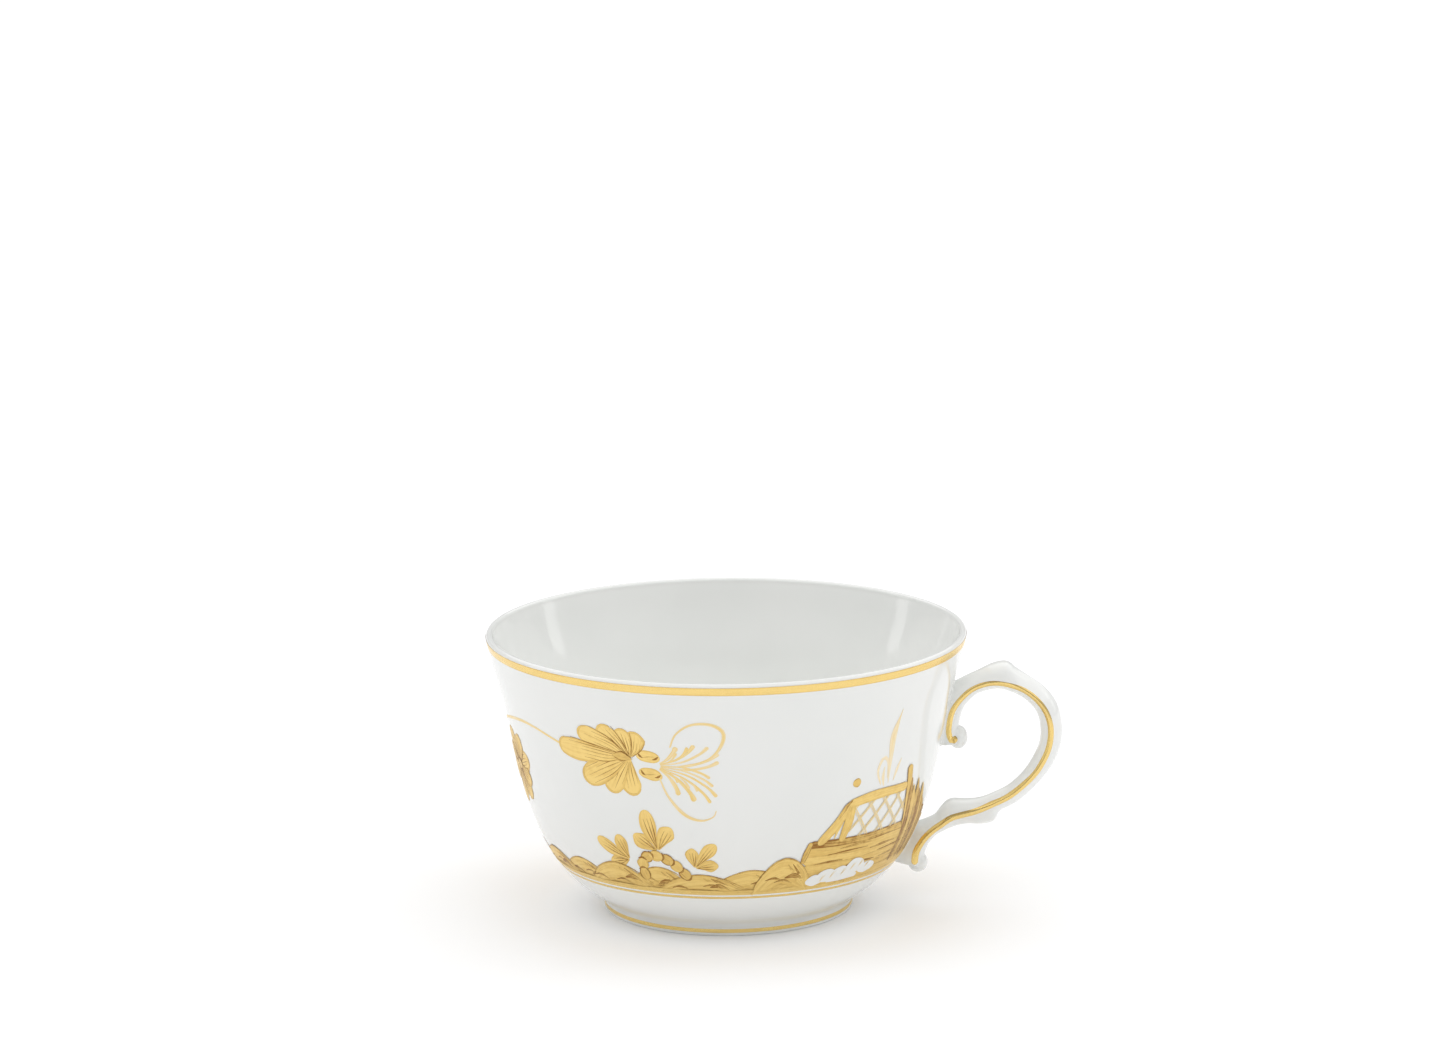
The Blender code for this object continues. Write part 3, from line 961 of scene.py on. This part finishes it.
def paint_blossom(painter, x, y, turn, size):
    """A blossom seen from the side, its petals fanned out to one side of a dark heart."""
    fan = [
        (74, 6.0, 4.4), (104, 6.4, 3.8), (133, 8.6, 4.4), (157, 11.8, 4.4), (178, 16.4, 4.6),
        (270, 8.0, 4.4), (236, 9.2, 4.8), (208, 12.4, 5.6),
    ]
    for i, (angle, length, width) in enumerate(fan):
        tone = 0.04 + painter.hand.uniform(-0.04, 0.12)
        paint_petal(painter, x, y, turn + angle, length * size, width * size, tone, 2 * (i % 5))
    heart = placed([(-3.6, 0.3), (-1.2, 0.2), (0.6, -0.2)], x, y, turn, size)
    painter.stroke(heart, 2.1 * size, 0.55, 12, LEAF)


def paint_pod(painter, x, y, turn, size):
    """A small swollen pod with a crescent shade at each end."""
    painter.stroke(placed([(-2.4, 0), (0, 0.15), (2.4, 0)], x, y, turn, size), 2.6 * size, 0.15, 0, DAB)
    for side in (-1, 1):
        shade = placed([(side * 2.0, 0.5), (side * 1.5, -0.1), (side * 0.9, -0.35)], x, y, turn, size)
        painter.stroke(shade, 0.42 * size, 0.95, 1, HAIR)
    ridge = placed([(-1.0, -0.3), (0, 0.05), (1.1, 0.3)], x, y, turn, size)
    painter.stroke(ridge, 0.2 * size, 0.6, 1, HAIR)


def paint_spray(painter, x, y, turn, size):
    """Fine stamens fanned from one point, with an open loop above and below."""
    hand = painter.hand
    # Direction in degrees, length and width of each stamen
    stems = [
        (44, 7.0, 1.0), (30, 10.5, 0.75), (21, 13.0, 0.6), (11, 14.6, 0.6), (3, 14.2, 0.65),
        (-5, 12.4, 0.55), (-13, 13.6, 0.5), (-21, 15.4, 0.6), (-29, 15.0, 0.6), (-38, 12.0, 0.95),
        (-49, 8.6, 1.0),
    ]
    for angle, length, width in stems:
        bend = math.copysign(1.1, angle) * length / 12
        line = [(0.9, 0), (0.45 * length, -0.6 * bend), (0.8 * length, 0), (length, bend)]
        line = placed(line, x, y, turn + angle, size)
        painter.stroke(line, 1.25 * width, hand.uniform(0.45, 0.85), 0, TIP)
    # Where each side hair starts, which side it is on, and its length
    for reach, side, length in ((2.6, 1, 3.4), (4.4, 1, 4.6), (3.0, -1, 3.2), (5.4, -1, 3.6), (7.6, -1, 3.0)):
        feather = [
            (reach, 0.45 * reach * side),
            (reach + 0.35 * length, 0.45 * reach * side + 0.3 * length * side),
            (reach + 0.6 * length, (0.45 * reach + 0.75 * length) * side),
        ]
        painter.stroke(placed(feather, x, y, turn, size), 0.8 * size, hand.uniform(0.45, 0.85), 1, TIP)
    upper = [
        (3.2, 5.0), (4.6, 8.6), (8.0, 11.4), (12.4, 11.6), (15.0, 9.4), (14.2, 5.4), (11.2, 2.2), (5.2, 0.4),
    ]
    lower = [(0.6, -3.0), (2.6, -7.6), (6.2, -11.8), (10.0, -13.2), (13.0, -12.2), (13.8, -10.4)]
    for loop in (upper, lower):
        painter.stroke(placed(loop, x, y, turn, size), 0.85 * size, 0.6, 1, HAIR)


def paint_sprig(painter, x, y, turn, size):
    """Three round leaves from one point, each with brown ribs."""
    for angle, length in ((46, 5.6), (-40, 6.0), (3, 8.6)):
        leaf = placed([(0.3, 0), (0.5 * length, 0.3), (length, 0)], x, y, turn + angle, size)
        painter.stroke(leaf, 3.3 * size, painter.hand.uniform(0.24, 0.4), 2, PETAL, fade=-0.2)
        for side in (-0.55, 0.0, 0.6):
            rib = [(0.6, 0), (0.45 * length, side), (0.8 * length, 1.3 * side)]
            rib = placed(rib, x, y, turn + angle, size)
            painter.stroke(rib, 0.2 * size, painter.hand.uniform(0.55, 0.95), 3, HAIR)


def paint_beads(painter, points):
    """A bent twig of round knots along the points."""
    knots = even_curve([Vector(point) for point in points], 7)
    for i, (a, b) in enumerate(zip(knots, knots[1:])):
        tone = 0.28 if i % 2 else 0.55
        middle = (a + b) / 2
        reach = (b - a) * 0.18
        painter.stroke([a - reach, middle, b + reach], 2.7, tone, 10 + i % 2, DAB)
        across = Vector((a.y - b.y, b.x - a.x)) * 0.42
        painter.stroke([b + across, b + reach, b - across], 0.45, 0.9, 12, HAIR)


def paint_mound(painter, x, y, width, height, level):
    """A rounded mound: its body, streaky strokes over its back, an outline and a few dark touches."""
    hand = painter.hand

    def over(share, shift=0.0):
        """A hump-shaped path at a share of the mound's height."""
        path = [(-0.5, 0.05), (-0.30, 0.55), (-0.02, 0.86), (0.26, 0.66), (0.5, 0.12)]
        return [(x + (u * (0.55 + 0.45 * share) + shift) * width, y + v * share * height) for u, v in path]

    painter.stroke(over(0.55), 0.62 * height, 0.36, level, DAB)
    painter.stroke(over(0.92), 0.34 * height, hand.uniform(0.16, 0.34), level + 1, LEAF)
    painter.stroke(over(0.62, 0.05), 0.22 * height, hand.uniform(0.08, 0.26), level + 2, LEAF)
    outline = [(u, v + 0.13 * height) for u, v in over(0.96)]
    painter.stroke(outline, 0.30, 0.70, level + 2, HAIR)
    for share, wide in ((-0.22, 0.5), (0.04, 0.4), (0.22, 1.0)):
        left = x + (share + hand.uniform(-0.1, 0.1)) * width
        top = y + hand.uniform(0.16, 0.42) * height
        touch = [(left - 2.2, top + 0.1), (left, top + 0.6), (left + 2.2, top - 0.5)]
        wide *= hand.uniform(0.9, 1.3)
        painter.stroke(touch, wide, hand.uniform(0.9, 1.0), level + 3, LEAF, fade=-0.3)
    for shift, tone in ((0.16, 0.62), (0.24, 0.82), (0.30, 0.5)):
        down = ((-0.12, 0.78), (0.0, 0.5), (0.1, 0.16))
        flank = [(x + (shift + u) * width, y + v * height) for u, v in down]
        wide = hand.uniform(0.45, 0.8)
        painter.stroke(flank, wide, tone + hand.uniform(-0.1, 0.1), level + 2, LEAF, fade=-0.2)
    shine = [(u, v - 0.16 * height) for u, v in over(0.9, -0.04)]
    painter.stroke(shine, 0.16 * height, 0.05, level + 2, LEAF)


def paint_mounds(painter, count):
    """The run of mounds all round the bowl, standing on the ground line. Every second one lies in front."""
    hand = painter.hand
    ground = flat(0, 11.7)[1]
    pitch = math.tau * DRAWING_RADIUS / count
    for i in range(count):
        x = (i + 0.5) * pitch - math.pi * DRAWING_RADIUS + hand.uniform(-0.15, 0.15) * pitch
        low = [(x - 0.6 * pitch, ground + 0.6), (x, ground + 0.75), (x + 0.62 * pitch, ground + 0.6)]
        painter.stroke(low, 1.9, hand.uniform(0.22, 0.42), 0, LINE)
        width = pitch * hand.uniform(1.4, 1.95)
        paint_mound(painter, x, ground + 0.1, width, hand.uniform(4.0, 6.2), 1 + 4 * (i % 2))
        painter.stroke([(u, v - 0.45) for u, v in low], 0.7, hand.uniform(0.15, 0.35), 9, LINE)


def paint_lattice(painter, left_low, right_low, left_high, right_high, count):
    """Fine crossed canes between two rails, given by the ends of both rails."""
    corners = [Vector(corner) for corner in (left_low, right_low, left_high, right_high)]

    def inside(u, v):
        return corners[0].lerp(corners[1], u).lerp(corners[2].lerp(corners[3], u), v)

    for i in range(-1, count + 1):
        for lean in (1.6, -1.3):
            start, end = (i + 0.5 - 0.5 * lean) / count, (i + 0.5 + 0.5 * lean) / count
            low = max(0.0, -start / (end - start)) if lean > 0 else max(0.0, (1 - start) / (end - start))
            high = min(1.0, (1 - start) / (end - start)) if lean > 0 else min(1.0, -start / (end - start))
            if high - low < 0.15:
                continue
            for shift in (0.0, 0.028):
                a = inside(start + (end - start) * low + shift, low)
                b = inside(start + (end - start) * high + shift, high)
                painter.stroke([a, (a + b) / 2, b], 0.26, painter.hand.uniform(0.3, 0.7), 9, LINE)


def paint_terrace(painter, turn):
    """A garden terrace: a banked wall, the rails of its fence, and reeds beside it."""
    hand = painter.hand

    def at(*places):
        return turned_path(turn, places)

    # Courses of the wall: places from left to right in degrees and mm, width, tone and fade
    bank = [
        ((23.6, 21.3), (42, 20.9), (61, 21.0), (80, 19.4), 1.9, 0.85, -0.45),
        ((22.9, 19.6), (42, 19.2), (61, 19.4), (80, 18.0), 2.3, 0.42, -0.20),
        ((22.3, 17.8), (42, 17.5), (61, 17.7), (80, 16.6), 2.4, 0.14, 0.20),
        ((22.6, 16.0), (42, 15.8), (61, 16.1), (80, 15.2), 2.4, 0.30, 0.10),
        ((24.0, 14.3), (42, 14.2), (61, 14.5), (80, 13.9), 2.3, 0.52, -0.10),
        ((24.0, 12.8), (42, 12.8), (61, 13.0), (80, 12.8), 2.2, 0.34, 0.10),
    ]
    for i, (*points, width, tone, fade) in enumerate(bank):
        painter.stroke(at(*points), width, tone, 9 + i % 2, LINE, fade=fade)
    # Shadows between the courses: start in degrees, height, length in degrees and tone
    shadows = [
        (30, 18.6, 15, 0.95), (44, 20.2, 16, 0.8), (38, 15.4, 12, 1.0), (50, 17.2, 18, 0.85),
        (58, 14.0, 14, 0.8), (26, 16.8, 10, 0.8), (62, 18.8, 14, 0.9), (34, 19.6, 12, 0.7),
        (46, 18.2, 12, 0.75), (52, 15.6, 14, 0.7),
    ]
    for start, height, length, tone in shadows:
        shade = at((start, height), (start + 0.5 * length, height + 0.25), (start + length, height + 0.2))
        painter.stroke(shade, hand.uniform(0.3, 0.6), tone, 11, HAIR)
    for height in (12.2, 11.9):
        foot = at((24, height), (40, height + 0.1), (62, height + 0.5), (84, height))
        painter.stroke(foot, 0.9, 0.3, 9, LINE)
    painter.stroke(at((24.0, 21.9), (22.9, 19.6), (22.0, 17.4)), 1.3, 0.58, 11, LINE)
    # Rails and posts of the fence: places, width and tone
    rails = [
        ((34.4, 28.9), (44.0, 29.8), (57.0, 29.7), 2.1, 0.16),
        ((34.8, 28.9), (31.0, 24.8), (26.2, 21.2), 2.2, 0.20),
        ((35.6, 28.8), (35.2, 25.6), (33.6, 21.2), 2.1, 0.26),
        ((56.8, 34.0), (58.6, 28.0), (60.4, 20.8), 2.0, 0.45),
    ]
    for *points, width, tone in rails:
        painter.stroke(at(*points), width, tone, 12, LINE, fade=0.08)
    painter.stroke(at((35.4, 29.7), (33.6, 28.6), (31.6, 26.0)), 0.9, 0.8, 13, LEAF, fade=-0.3)
    for degrees in (28.0, 29.6, 31.2):
        scribble = at((degrees + 2.0, 25.2), (degrees + 0.6, 23.6), (degrees, 21.9))
        painter.stroke(scribble, 0.6, 0.12, 10, HAIR)
    for i, height in enumerate((31.0, 29.2, 30.2, 27.8, 28.6, 25.4, 23.2)):
        reed = at((60.0 + 2.3 * i, 13.4), (61.0 + 2.3 * i, 21.0), (59.2 + 2.1 * i, height))
        painter.stroke(reed, 1.7, (0.85, 0.4, 0.7)[i % 3], 13 + i % 2, REED, fade=-0.1)
    painter.dot(*flat(turn + 36.1, 33.2), 1.9, 0.42, 1)


def paint_wash(painter, turn):
    """What is painted pale at a terrace: the canes of its fence and a plume behind it."""

    def at(*places):
        return turned_path(turn, places)

    paint_lattice(painter, *at((34.8, 21.6), (60.6, 21.9), (36.2, 28.8), (58.0, 29.2)), 4)
    plume = at((47.6, 31.6), (47.2, 37.6), (47.2, 41.6), (48.8, 46.8))
    painter.stroke(plume, 1.6, 0.1, 1, PLUME, fade=0.3)
    for points in (
        ((44.8, 31.6), (43.0, 34.6), (44.4, 37.2), (46.4, 36.2), (47.0, 32.6)),
        ((49.6, 31.8), (50.6, 34.2), (52.0, 36.2)),
        ((46.0, 31.2), (45.2, 33.4), (45.4, 35.4)),
    ):
        painter.stroke(at(*points), 0.8, 0.1, 0, HAIR)


def paint_pebble_lines(painter, turn):
    """Fine gold lines drawn over the white pebbles."""
    feet = [(29.5, 12.7), (33.0, 13.2), (37.0, 13.4), (40.4, 14.2), (43.6, 14.6), (46.8, 14.0)]
    for degrees, height in feet:
        for lean in (0.9, 1.7):
            line = [flat(turn + degrees + lean * share, height + 1.5 * share) for share in (0.0, 0.5, 1.0)]
            painter.stroke(line, 0.16, 0.6, 18, HAIR)


def paint_pebbles(painter, turn):
    """Pale scalloped pebbles at the foot of the terrace, in white enamel over the gold."""
    # Place in degrees and mm, then length and width in mm
    pebbles = [
        (27.6, 13.2, 4.6, 2.9), (31.4, 13.9, 5.2, 3.5), (36.4, 13.9, 5.6, 3.6), (42.0, 14.9, 5.6, 4.0),
        (47.6, 14.0, 5.4, 2.8), (38.0, 12.9, 9.0, 1.6),
    ]
    for i, (degrees, height, length, width) in enumerate(pebbles):
        x, y = flat(turn + degrees, height)
        pebble = [(x - 0.5 * length, y - 0.3), (x, y), (x + 0.5 * length, y - 0.1)]
        painter.stroke(pebble, width, 0.5, 15 + i % 2, DAB)


def wall_painter(settings, number):
    """A painter for the bowl's wall. Each number gives the hand other small slips."""
    return Painter(settings.gilding, settings.decoration.seed + number, on_wall)


def make_blossoms(settings):
    """Blossoms and pods in the upper half of the wall."""
    painter = wall_painter(settings, 0)
    for turn in (0, 187):
        paint_blossom(painter, *flat(turn - 25.4, 39.9), 0, 1.0)
        paint_pod(painter, *flat(turn - 20.4, 40.4), -8, 1.0)
        paint_pod(painter, *flat(turn - 20.0, 36.8), -12, 1.0)
    gold = painted_gold(settings.gilding, "Blossom gold", 11.0, 0.95, 0.36)
    return painter.finish("painted_blossoms", gold)


# Direction in degrees and length in mm of each petal of a nodding flower
SIDE_PETALS = ((118, 8.0), (160, 7.0), (205, 7.5), (250, 9.0), (292, 7.5), (330, 6.0), (20, 6.5), (70, 7.0))


def make_wash(settings):
    """The pale strokes: sprays, tendrils, fence canes, plumes and the lines over the pebbles."""
    painter = wall_painter(settings, 6)
    for turn in (0, 187):
        paint_spray(painter, *flat(turn - 18.2, 38.7), -2, 0.83)
        tendril = [(-91, 38.2), (-80, 40.6), (-67, 42.3), (-57.7, 42.2), (-46.5, 40.4)]
        painter.stroke(turned_path(turn, tendril), 0.6, 0.65, 0, LINE)
    for turn in (0, 180):
        paint_wash(painter, turn)
        paint_pebble_lines(painter, turn)
    return painter.finish("pale_strokes", pale_wash(settings.gilding))


def make_side_flowers(settings):
    """The smaller nodding flowers between the blossoms."""
    painter = wall_painter(settings, 1)
    for turn in (-74, 113):
        x, y = flat(turn, 32.0)
        for i, (angle, length) in enumerate(SIDE_PETALS):
            paint_petal(painter, x, y, angle, length, 4.4, 0.22, 2 * (i % 3))
        painter.dot(x, y, 2.6, 0.6, 7)
    gold = painted_gold(settings.gilding, "Side flower gold", 11.0, 0.95, 0.36)
    return painter.finish("painted_side_flowers", gold)


def make_sprigs(settings):
    """Leaf sprigs and bent twigs growing from the mounds."""
    painter = wall_painter(settings, 2)
    for turn in (0, 180):
        paint_sprig(painter, *flat(turn - 29.7, 18.1), 148, 0.98)
        paint_sprig(painter, *flat(turn - 20.2, 20.6), 99, 1.08)
        paint_sprig(painter, *flat(turn - 9.8, 17.2), 48, 0.86)
        twig = [
            (-25.6, 14.2), (-26.0, 17.6), (-24.2, 19.4), (-20.4, 19.6), (-16.6, 18.4), (-13.6, 16.4),
            (-12.0, 15.0),
        ]
        paint_beads(painter, turned_path(turn, twig))
    gold = painted_gold(settings.gilding, "Sprig gold", 11.0, 0.95, 0.34)
    return painter.finish("painted_sprigs", gold)


def make_mounds(settings):
    """The mounds round the foot of the wall."""
    painter = wall_painter(settings, 3)
    paint_mounds(painter, settings.decoration.mounds)
    for turn in (0, 180):
        # The tallest mound leans against the terrace's end
        paint_mound(painter, *flat(turn + 17.0, 11.8), 13.6, 8.4, 10.5)
    gold = painted_gold(settings.gilding, "Mound gold", 9.0, 1.05, 0.26)
    return painter.finish("painted_mounds", gold)


def make_terraces(settings):
    """A terrace at the front, and its twin at the back."""
    painter = wall_painter(settings, 4)
    for turn in (0, 180):
        paint_terrace(painter, turn)
    gold = painted_gold(settings.gilding, "Terrace gold", 10.0, 1.05, 0.30)
    return painter.finish("painted_terraces", gold)


def make_pebbles(settings):
    """The white pebbles at the foot of both terraces."""
    painter = wall_painter(settings, 5)
    for turn in (0, 180):
        paint_pebbles(painter, turn)
    return finish_piece(painter.bm, "white_pebbles", [porcelain(settings.glaze)])


# In the order that they are painted
PAINTED = (
    make_blossoms, make_wash, make_side_flowers, make_sprigs, make_mounds, make_terraces, make_pebbles,
)


# Gilt lines


def make_line(settings, name, node, low, high, tone, material):
    """A gilt line round the cup that takes the place and height of a CAD band."""
    gilding = settings.gilding
    on_foot = high < BASE_Z
    spans = 6
    heights = [low + (high - low) * i / spans for i in range(spans + 1)]
    outline = [(FOOT_RADIUS if on_foot else WALL.at_height(z)[1], z) for z in heights]
    film = [(r + gilding.lift + gilding.film, z) for r, z in outline]
    film += [(r + gilding.lift, z) for r, z in outline[::-1]]
    bm = turned(film, settings.body.turn_steps, closed=True)
    stroke_layer = bm.verts.layers.float_vector.new("stroke")
    grain_layer = bm.verts.layers.float.new("grain")
    for vert in bm.verts:
        turn = abs(math.atan2(vert.co.y, vert.co.x - AXIS_X))
        vert[stroke_layer] = (turn * FOOT_RADIUS / MM, (vert.co.z - low) / (high - low), tone)
        vert[grain_layer] = 0.3
    return finish_piece(bm, name, [material], [node])


def make_gilt_lines(settings):
    """The rim band, the two lines under the mounds and the line on the foot.

    Each has its tone, its material, and how far its edges stand off its CAD band's, in mm."""
    band = painted_gold(settings.gilding, "Band gold", 3.0, 0.5, 0.45, 0.14)
    hair = painted_gold(settings.gilding, "Hair line gold", 1.5, 0.3, 0.2, 0.2)
    for name, node, tone, material, lower, upper in (
        ("rim_line", "rim_gilding", 0.08, band, 0.25, 0.05),
        ("ground_line", "ground_line_gilding", 0.22, hair, -0.05, 0.05),
        ("thin_line", "thin_line_gilding", 0.22, hair, -0.05, 0.05),
        ("foot_line", "foot_gilding", 0.10, hair, -0.40, -0.35),
    ):
        low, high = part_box(node)
        make_line(settings, name, node, low.z + lower * MM, high.z + upper * MM, tone, material)


HANDLE_SEED = 40
HANDLE_LINE_WIDTH = 1.4  # mm
HANDLE_BRUSH = Brush(0.75, 0.78, 1.0, 0.6)


def flank_surface(tree, side):
    """The surface of the handle's front flank for -1, or of its back flank for 1, from level with it."""

    def on_flank(x, z, lift):
        start = Vector((AXIS_X + x * MM, side * 20 * MM, z * MM))
        place, normal, _, _ = tree.ray_cast(start, Vector((0, -side, 0)))
        if place is None:
            # Past the handle's edge, the film wraps round it
            place, normal, _, _ = tree.find_nearest(start.lerp(Vector((start.x, 0, start.z)), 0.85))
        return place + normal * (lift + 0.012 * MM)

    return on_flank


def make_handle_gilding(settings):
    """A gilt line along the crest on both flanks, hooked at the upper scroll and ending in a dot."""
    tree = BVHTree.FromObject(bpy.data.objects["glazed_handle"], bpy.context.evaluated_depsgraph_get())
    for side, end in ((-1, "front"), (1, "back")):
        name = "handle_line_" + end
        painter = Painter(settings.gilding, HANDLE_SEED + side, flank_surface(tree, side))
        painter.stroke(HANDLE_LINE, HANDLE_LINE_WIDTH, 0.02, 0, HANDLE_BRUSH, steps=420, rows=8)
        painter.dot(44.95, 33.7, HANDLE_LINE_WIDTH, 0.34, 1)
        gold = painted_gold(settings.gilding, "Handle gold " + name, 4.0, 0.4, 0.36, 0.16)
        painter.finish(name, gold, ["handle_gilding_" + end])


# Stage


FLOOR_RADIUS = 9.0
CUP_MIDDLE = (AXIS_X, 0.0, 30 * MM)  # what the lights are turned to
CAMERA_PLACE = (AXIS_X, -1.155936, 0.322198)
CAMERA_AIM = (AXIS_X - 0.489 * MM, 0.0, 77.32 * MM)
CAMERA_ROLL = -0.563  # degrees


def make_floor(glow):
    """A wide pale table top with a faint grain, lit softly from beneath."""
    bm = bmesh.new()
    bmesh.ops.create_circle(bm, cap_ends=True, segments=64, radius=FLOOR_RADIUS)
    mesh = bpy.data.meshes.new("floor")
    bm.to_mesh(mesh)
    bm.free()
    made, tree, shader = new_material("Studio floor")
    grain = noise(tree, add_node(tree, "ShaderNodeTexCoord").outputs["Object"], 3.0, 3.0)
    colour = blend_colours(tree, grain, (0.95, 0.95, 0.955, 1.0), (0.965, 0.965, 0.97, 1.0))
    tree.links.new(colour, shader.inputs["Base Color"])
    shader.inputs["Roughness"].default_value = 1.0
    shader.inputs["Specular IOR Level"].default_value = 0.0
    shader.inputs["Emission Color"].default_value = (1.0, 1.0, 1.0, 1.0)
    shader.inputs["Emission Strength"].default_value = glow
    mesh.materials.append(made)
    floor = add_object("floor", mesh)


def add_soft_light(name, place, width, height, power):
    """A rectangular soft light at a place, turned to the cup."""
    light = bpy.data.lights.new(name, "AREA")
    light.shape = "RECTANGLE"
    light.size = width
    light.size_y = height
    light.energy = power
    lamp = add_object(name, light)
    lamp.location = place
    lamp.rotation_euler = (Vector(CUP_MIDDLE) - Vector(place)).to_track_quat("-Z", "Y").to_euler()


def make_camera(settings):
    """A long lens a little above the rim, rolled very slightly, square on to the handle's plane."""
    camera = bpy.data.cameras.new("camera")
    camera.lens = settings.stage.lens
    camera.sensor_width = 36.0
    camera.clip_end = 100.0
    view = add_object("camera", camera)
    view.location = CAMERA_PLACE
    roll = Quaternion((0, 0, 1), math.radians(CAMERA_ROLL))
    facing = (Vector(CAMERA_AIM) - Vector(CAMERA_PLACE)).to_track_quat("-Z", "Y")
    view.rotation_euler = (facing @ roll).to_euler()
    bpy.context.scene.camera = view


def make_room(strength):
    """An even white light from all round."""
    world = bpy.data.worlds.new("room")
    world.use_nodes = True
    background = world.node_tree.nodes["Background"]
    background.inputs["Color"].default_value = (1.0, 1.0, 1.0, 1.0)
    background.inputs["Strength"].default_value = strength
    bpy.context.scene.world = world


def make_overhead_light(strength):
    """A light from above, as wide as a bright ceiling."""
    sun = bpy.data.lights.new("overhead light", "SUN")
    sun.energy = strength
    sun.angle = math.radians(125)
    lamp = add_object("overhead light", sun)
    lamp.rotation_euler = Vector((-0.06, -0.08, -1.0)).to_track_quat("-Z", "Y").to_euler()


def make_stage(settings):
    """The floor, the white room, the soft lights and the camera."""
    stage = settings.stage
    make_floor(stage.table_glow)
    make_room(stage.sky)
    make_overhead_light(stage.key)
    for side in (-1, 1):
        add_soft_light("front panel", (side * 1.15, -0.95, 0.55), width=1.3, height=1.0, power=stage.panel)
        add_soft_light("side strip", (side * 1.0, 0.22, 0.45), width=0.16, height=0.7, power=stage.strip)
    bpy.context.scene.view_settings.view_transform = "Standard"
    make_camera(settings)


# Operators and panel


class TEACUP_OT_bowl(bpy.types.Operator):
    """Build the glazed bowl"""

    bl_idname = "teacup.bowl"
    bl_label = "Bowl"

    def execute(self, context):
        make_bowl(context.scene.teacup)
        return {"FINISHED"}


class TEACUP_OT_foot(bpy.types.Operator):
    """Build the foot ring"""

    bl_idname = "teacup.foot"
    bl_label = "Foot ring"

    def execute(self, context):
        make_foot(context.scene.teacup)
        return {"FINISHED"}


class TEACUP_OT_handle(bpy.types.Operator):
    """Build the scroll handle and its joints"""

    bl_idname = "teacup.handle"
    bl_label = "Handle"

    def execute(self, context):
        make_handle(context.scene.teacup)
        return {"FINISHED"}


class TEACUP_OT_gilt_lines(bpy.types.Operator):
    """Gild the rim, the ground lines and the foot"""

    bl_idname = "teacup.gilt_lines"
    bl_label = "Gilt lines"

    def execute(self, context):
        make_gilt_lines(context.scene.teacup)
        return {"FINISHED"}


class TEACUP_OT_handle_gilding(bpy.types.Operator):
    """Gild the crest of the handle, which must be there already"""

    bl_idname = "teacup.handle_gilding"
    bl_label = "Handle gilding"

    def execute(self, context):
        make_handle_gilding(context.scene.teacup)
        return {"FINISHED"}


class TEACUP_OT_painting(bpy.types.Operator):
    """Paint the flowers, sprigs, mounds and terraces"""

    bl_idname = "teacup.painting"
    bl_label = "Painted decoration"

    def execute(self, context):
        settings = context.scene.teacup
        for make in PAINTED:
            make(settings)
        return {"FINISHED"}


class TEACUP_OT_stage(bpy.types.Operator):
    """Set up the floor, the lights and the camera"""

    bl_idname = "teacup.stage"
    bl_label = "Stage"

    def execute(self, context):
        make_stage(context.scene.teacup)
        return {"FINISHED"}


OPERATORS = (
    TEACUP_OT_bowl,
    TEACUP_OT_foot,
    TEACUP_OT_handle,
    TEACUP_OT_gilt_lines,
    TEACUP_OT_handle_gilding,
    TEACUP_OT_painting,
    TEACUP_OT_stage,
)


class TEACUP_PT_panel(bpy.types.Panel):
    """Lists the settings and the build steps"""

    bl_label = "Teacup"
    bl_idname = "TEACUP_PT_panel"
    bl_space_type = "VIEW_3D"
    bl_region_type = "UI"
    bl_category = "Teacup"

    def draw(self, context):
        settings = context.scene.teacup
        for group_name in ("glaze", "body", "handle", "gilding", "decoration", "stage"):
            group = getattr(settings, group_name)
            box = self.layout.box()
            box.label(text=group_name.capitalize())
            for name in group.__annotations__:
                box.prop(group, name)
        for operator in OPERATORS:
            self.layout.operator(operator.bl_idname)


CLASSES = (
    GlazeSettings,
    BodySettings,
    HandleSettings,
    GildingSettings,
    DecorationSettings,
    StageSettings,
    TeacupSettings,
    *OPERATORS,
    TEACUP_PT_panel,
)


def register():
    for cls in CLASSES:
        bpy.utils.register_class(cls)
    bpy.types.Scene.teacup = PointerProperty(type=TeacupSettings)


def unregister():
    del bpy.types.Scene.teacup
    for cls in reversed(CLASSES):
        bpy.utils.unregister_class(cls)


def main():
    register()
    bpy.ops.teacup.bowl()
    bpy.ops.teacup.foot()
    bpy.ops.teacup.handle()
    bpy.ops.teacup.gilt_lines()
    bpy.ops.teacup.handle_gilding()
    bpy.ops.teacup.painting()
    bpy.ops.teacup.stage()


if __name__ == "__main__":
    main()
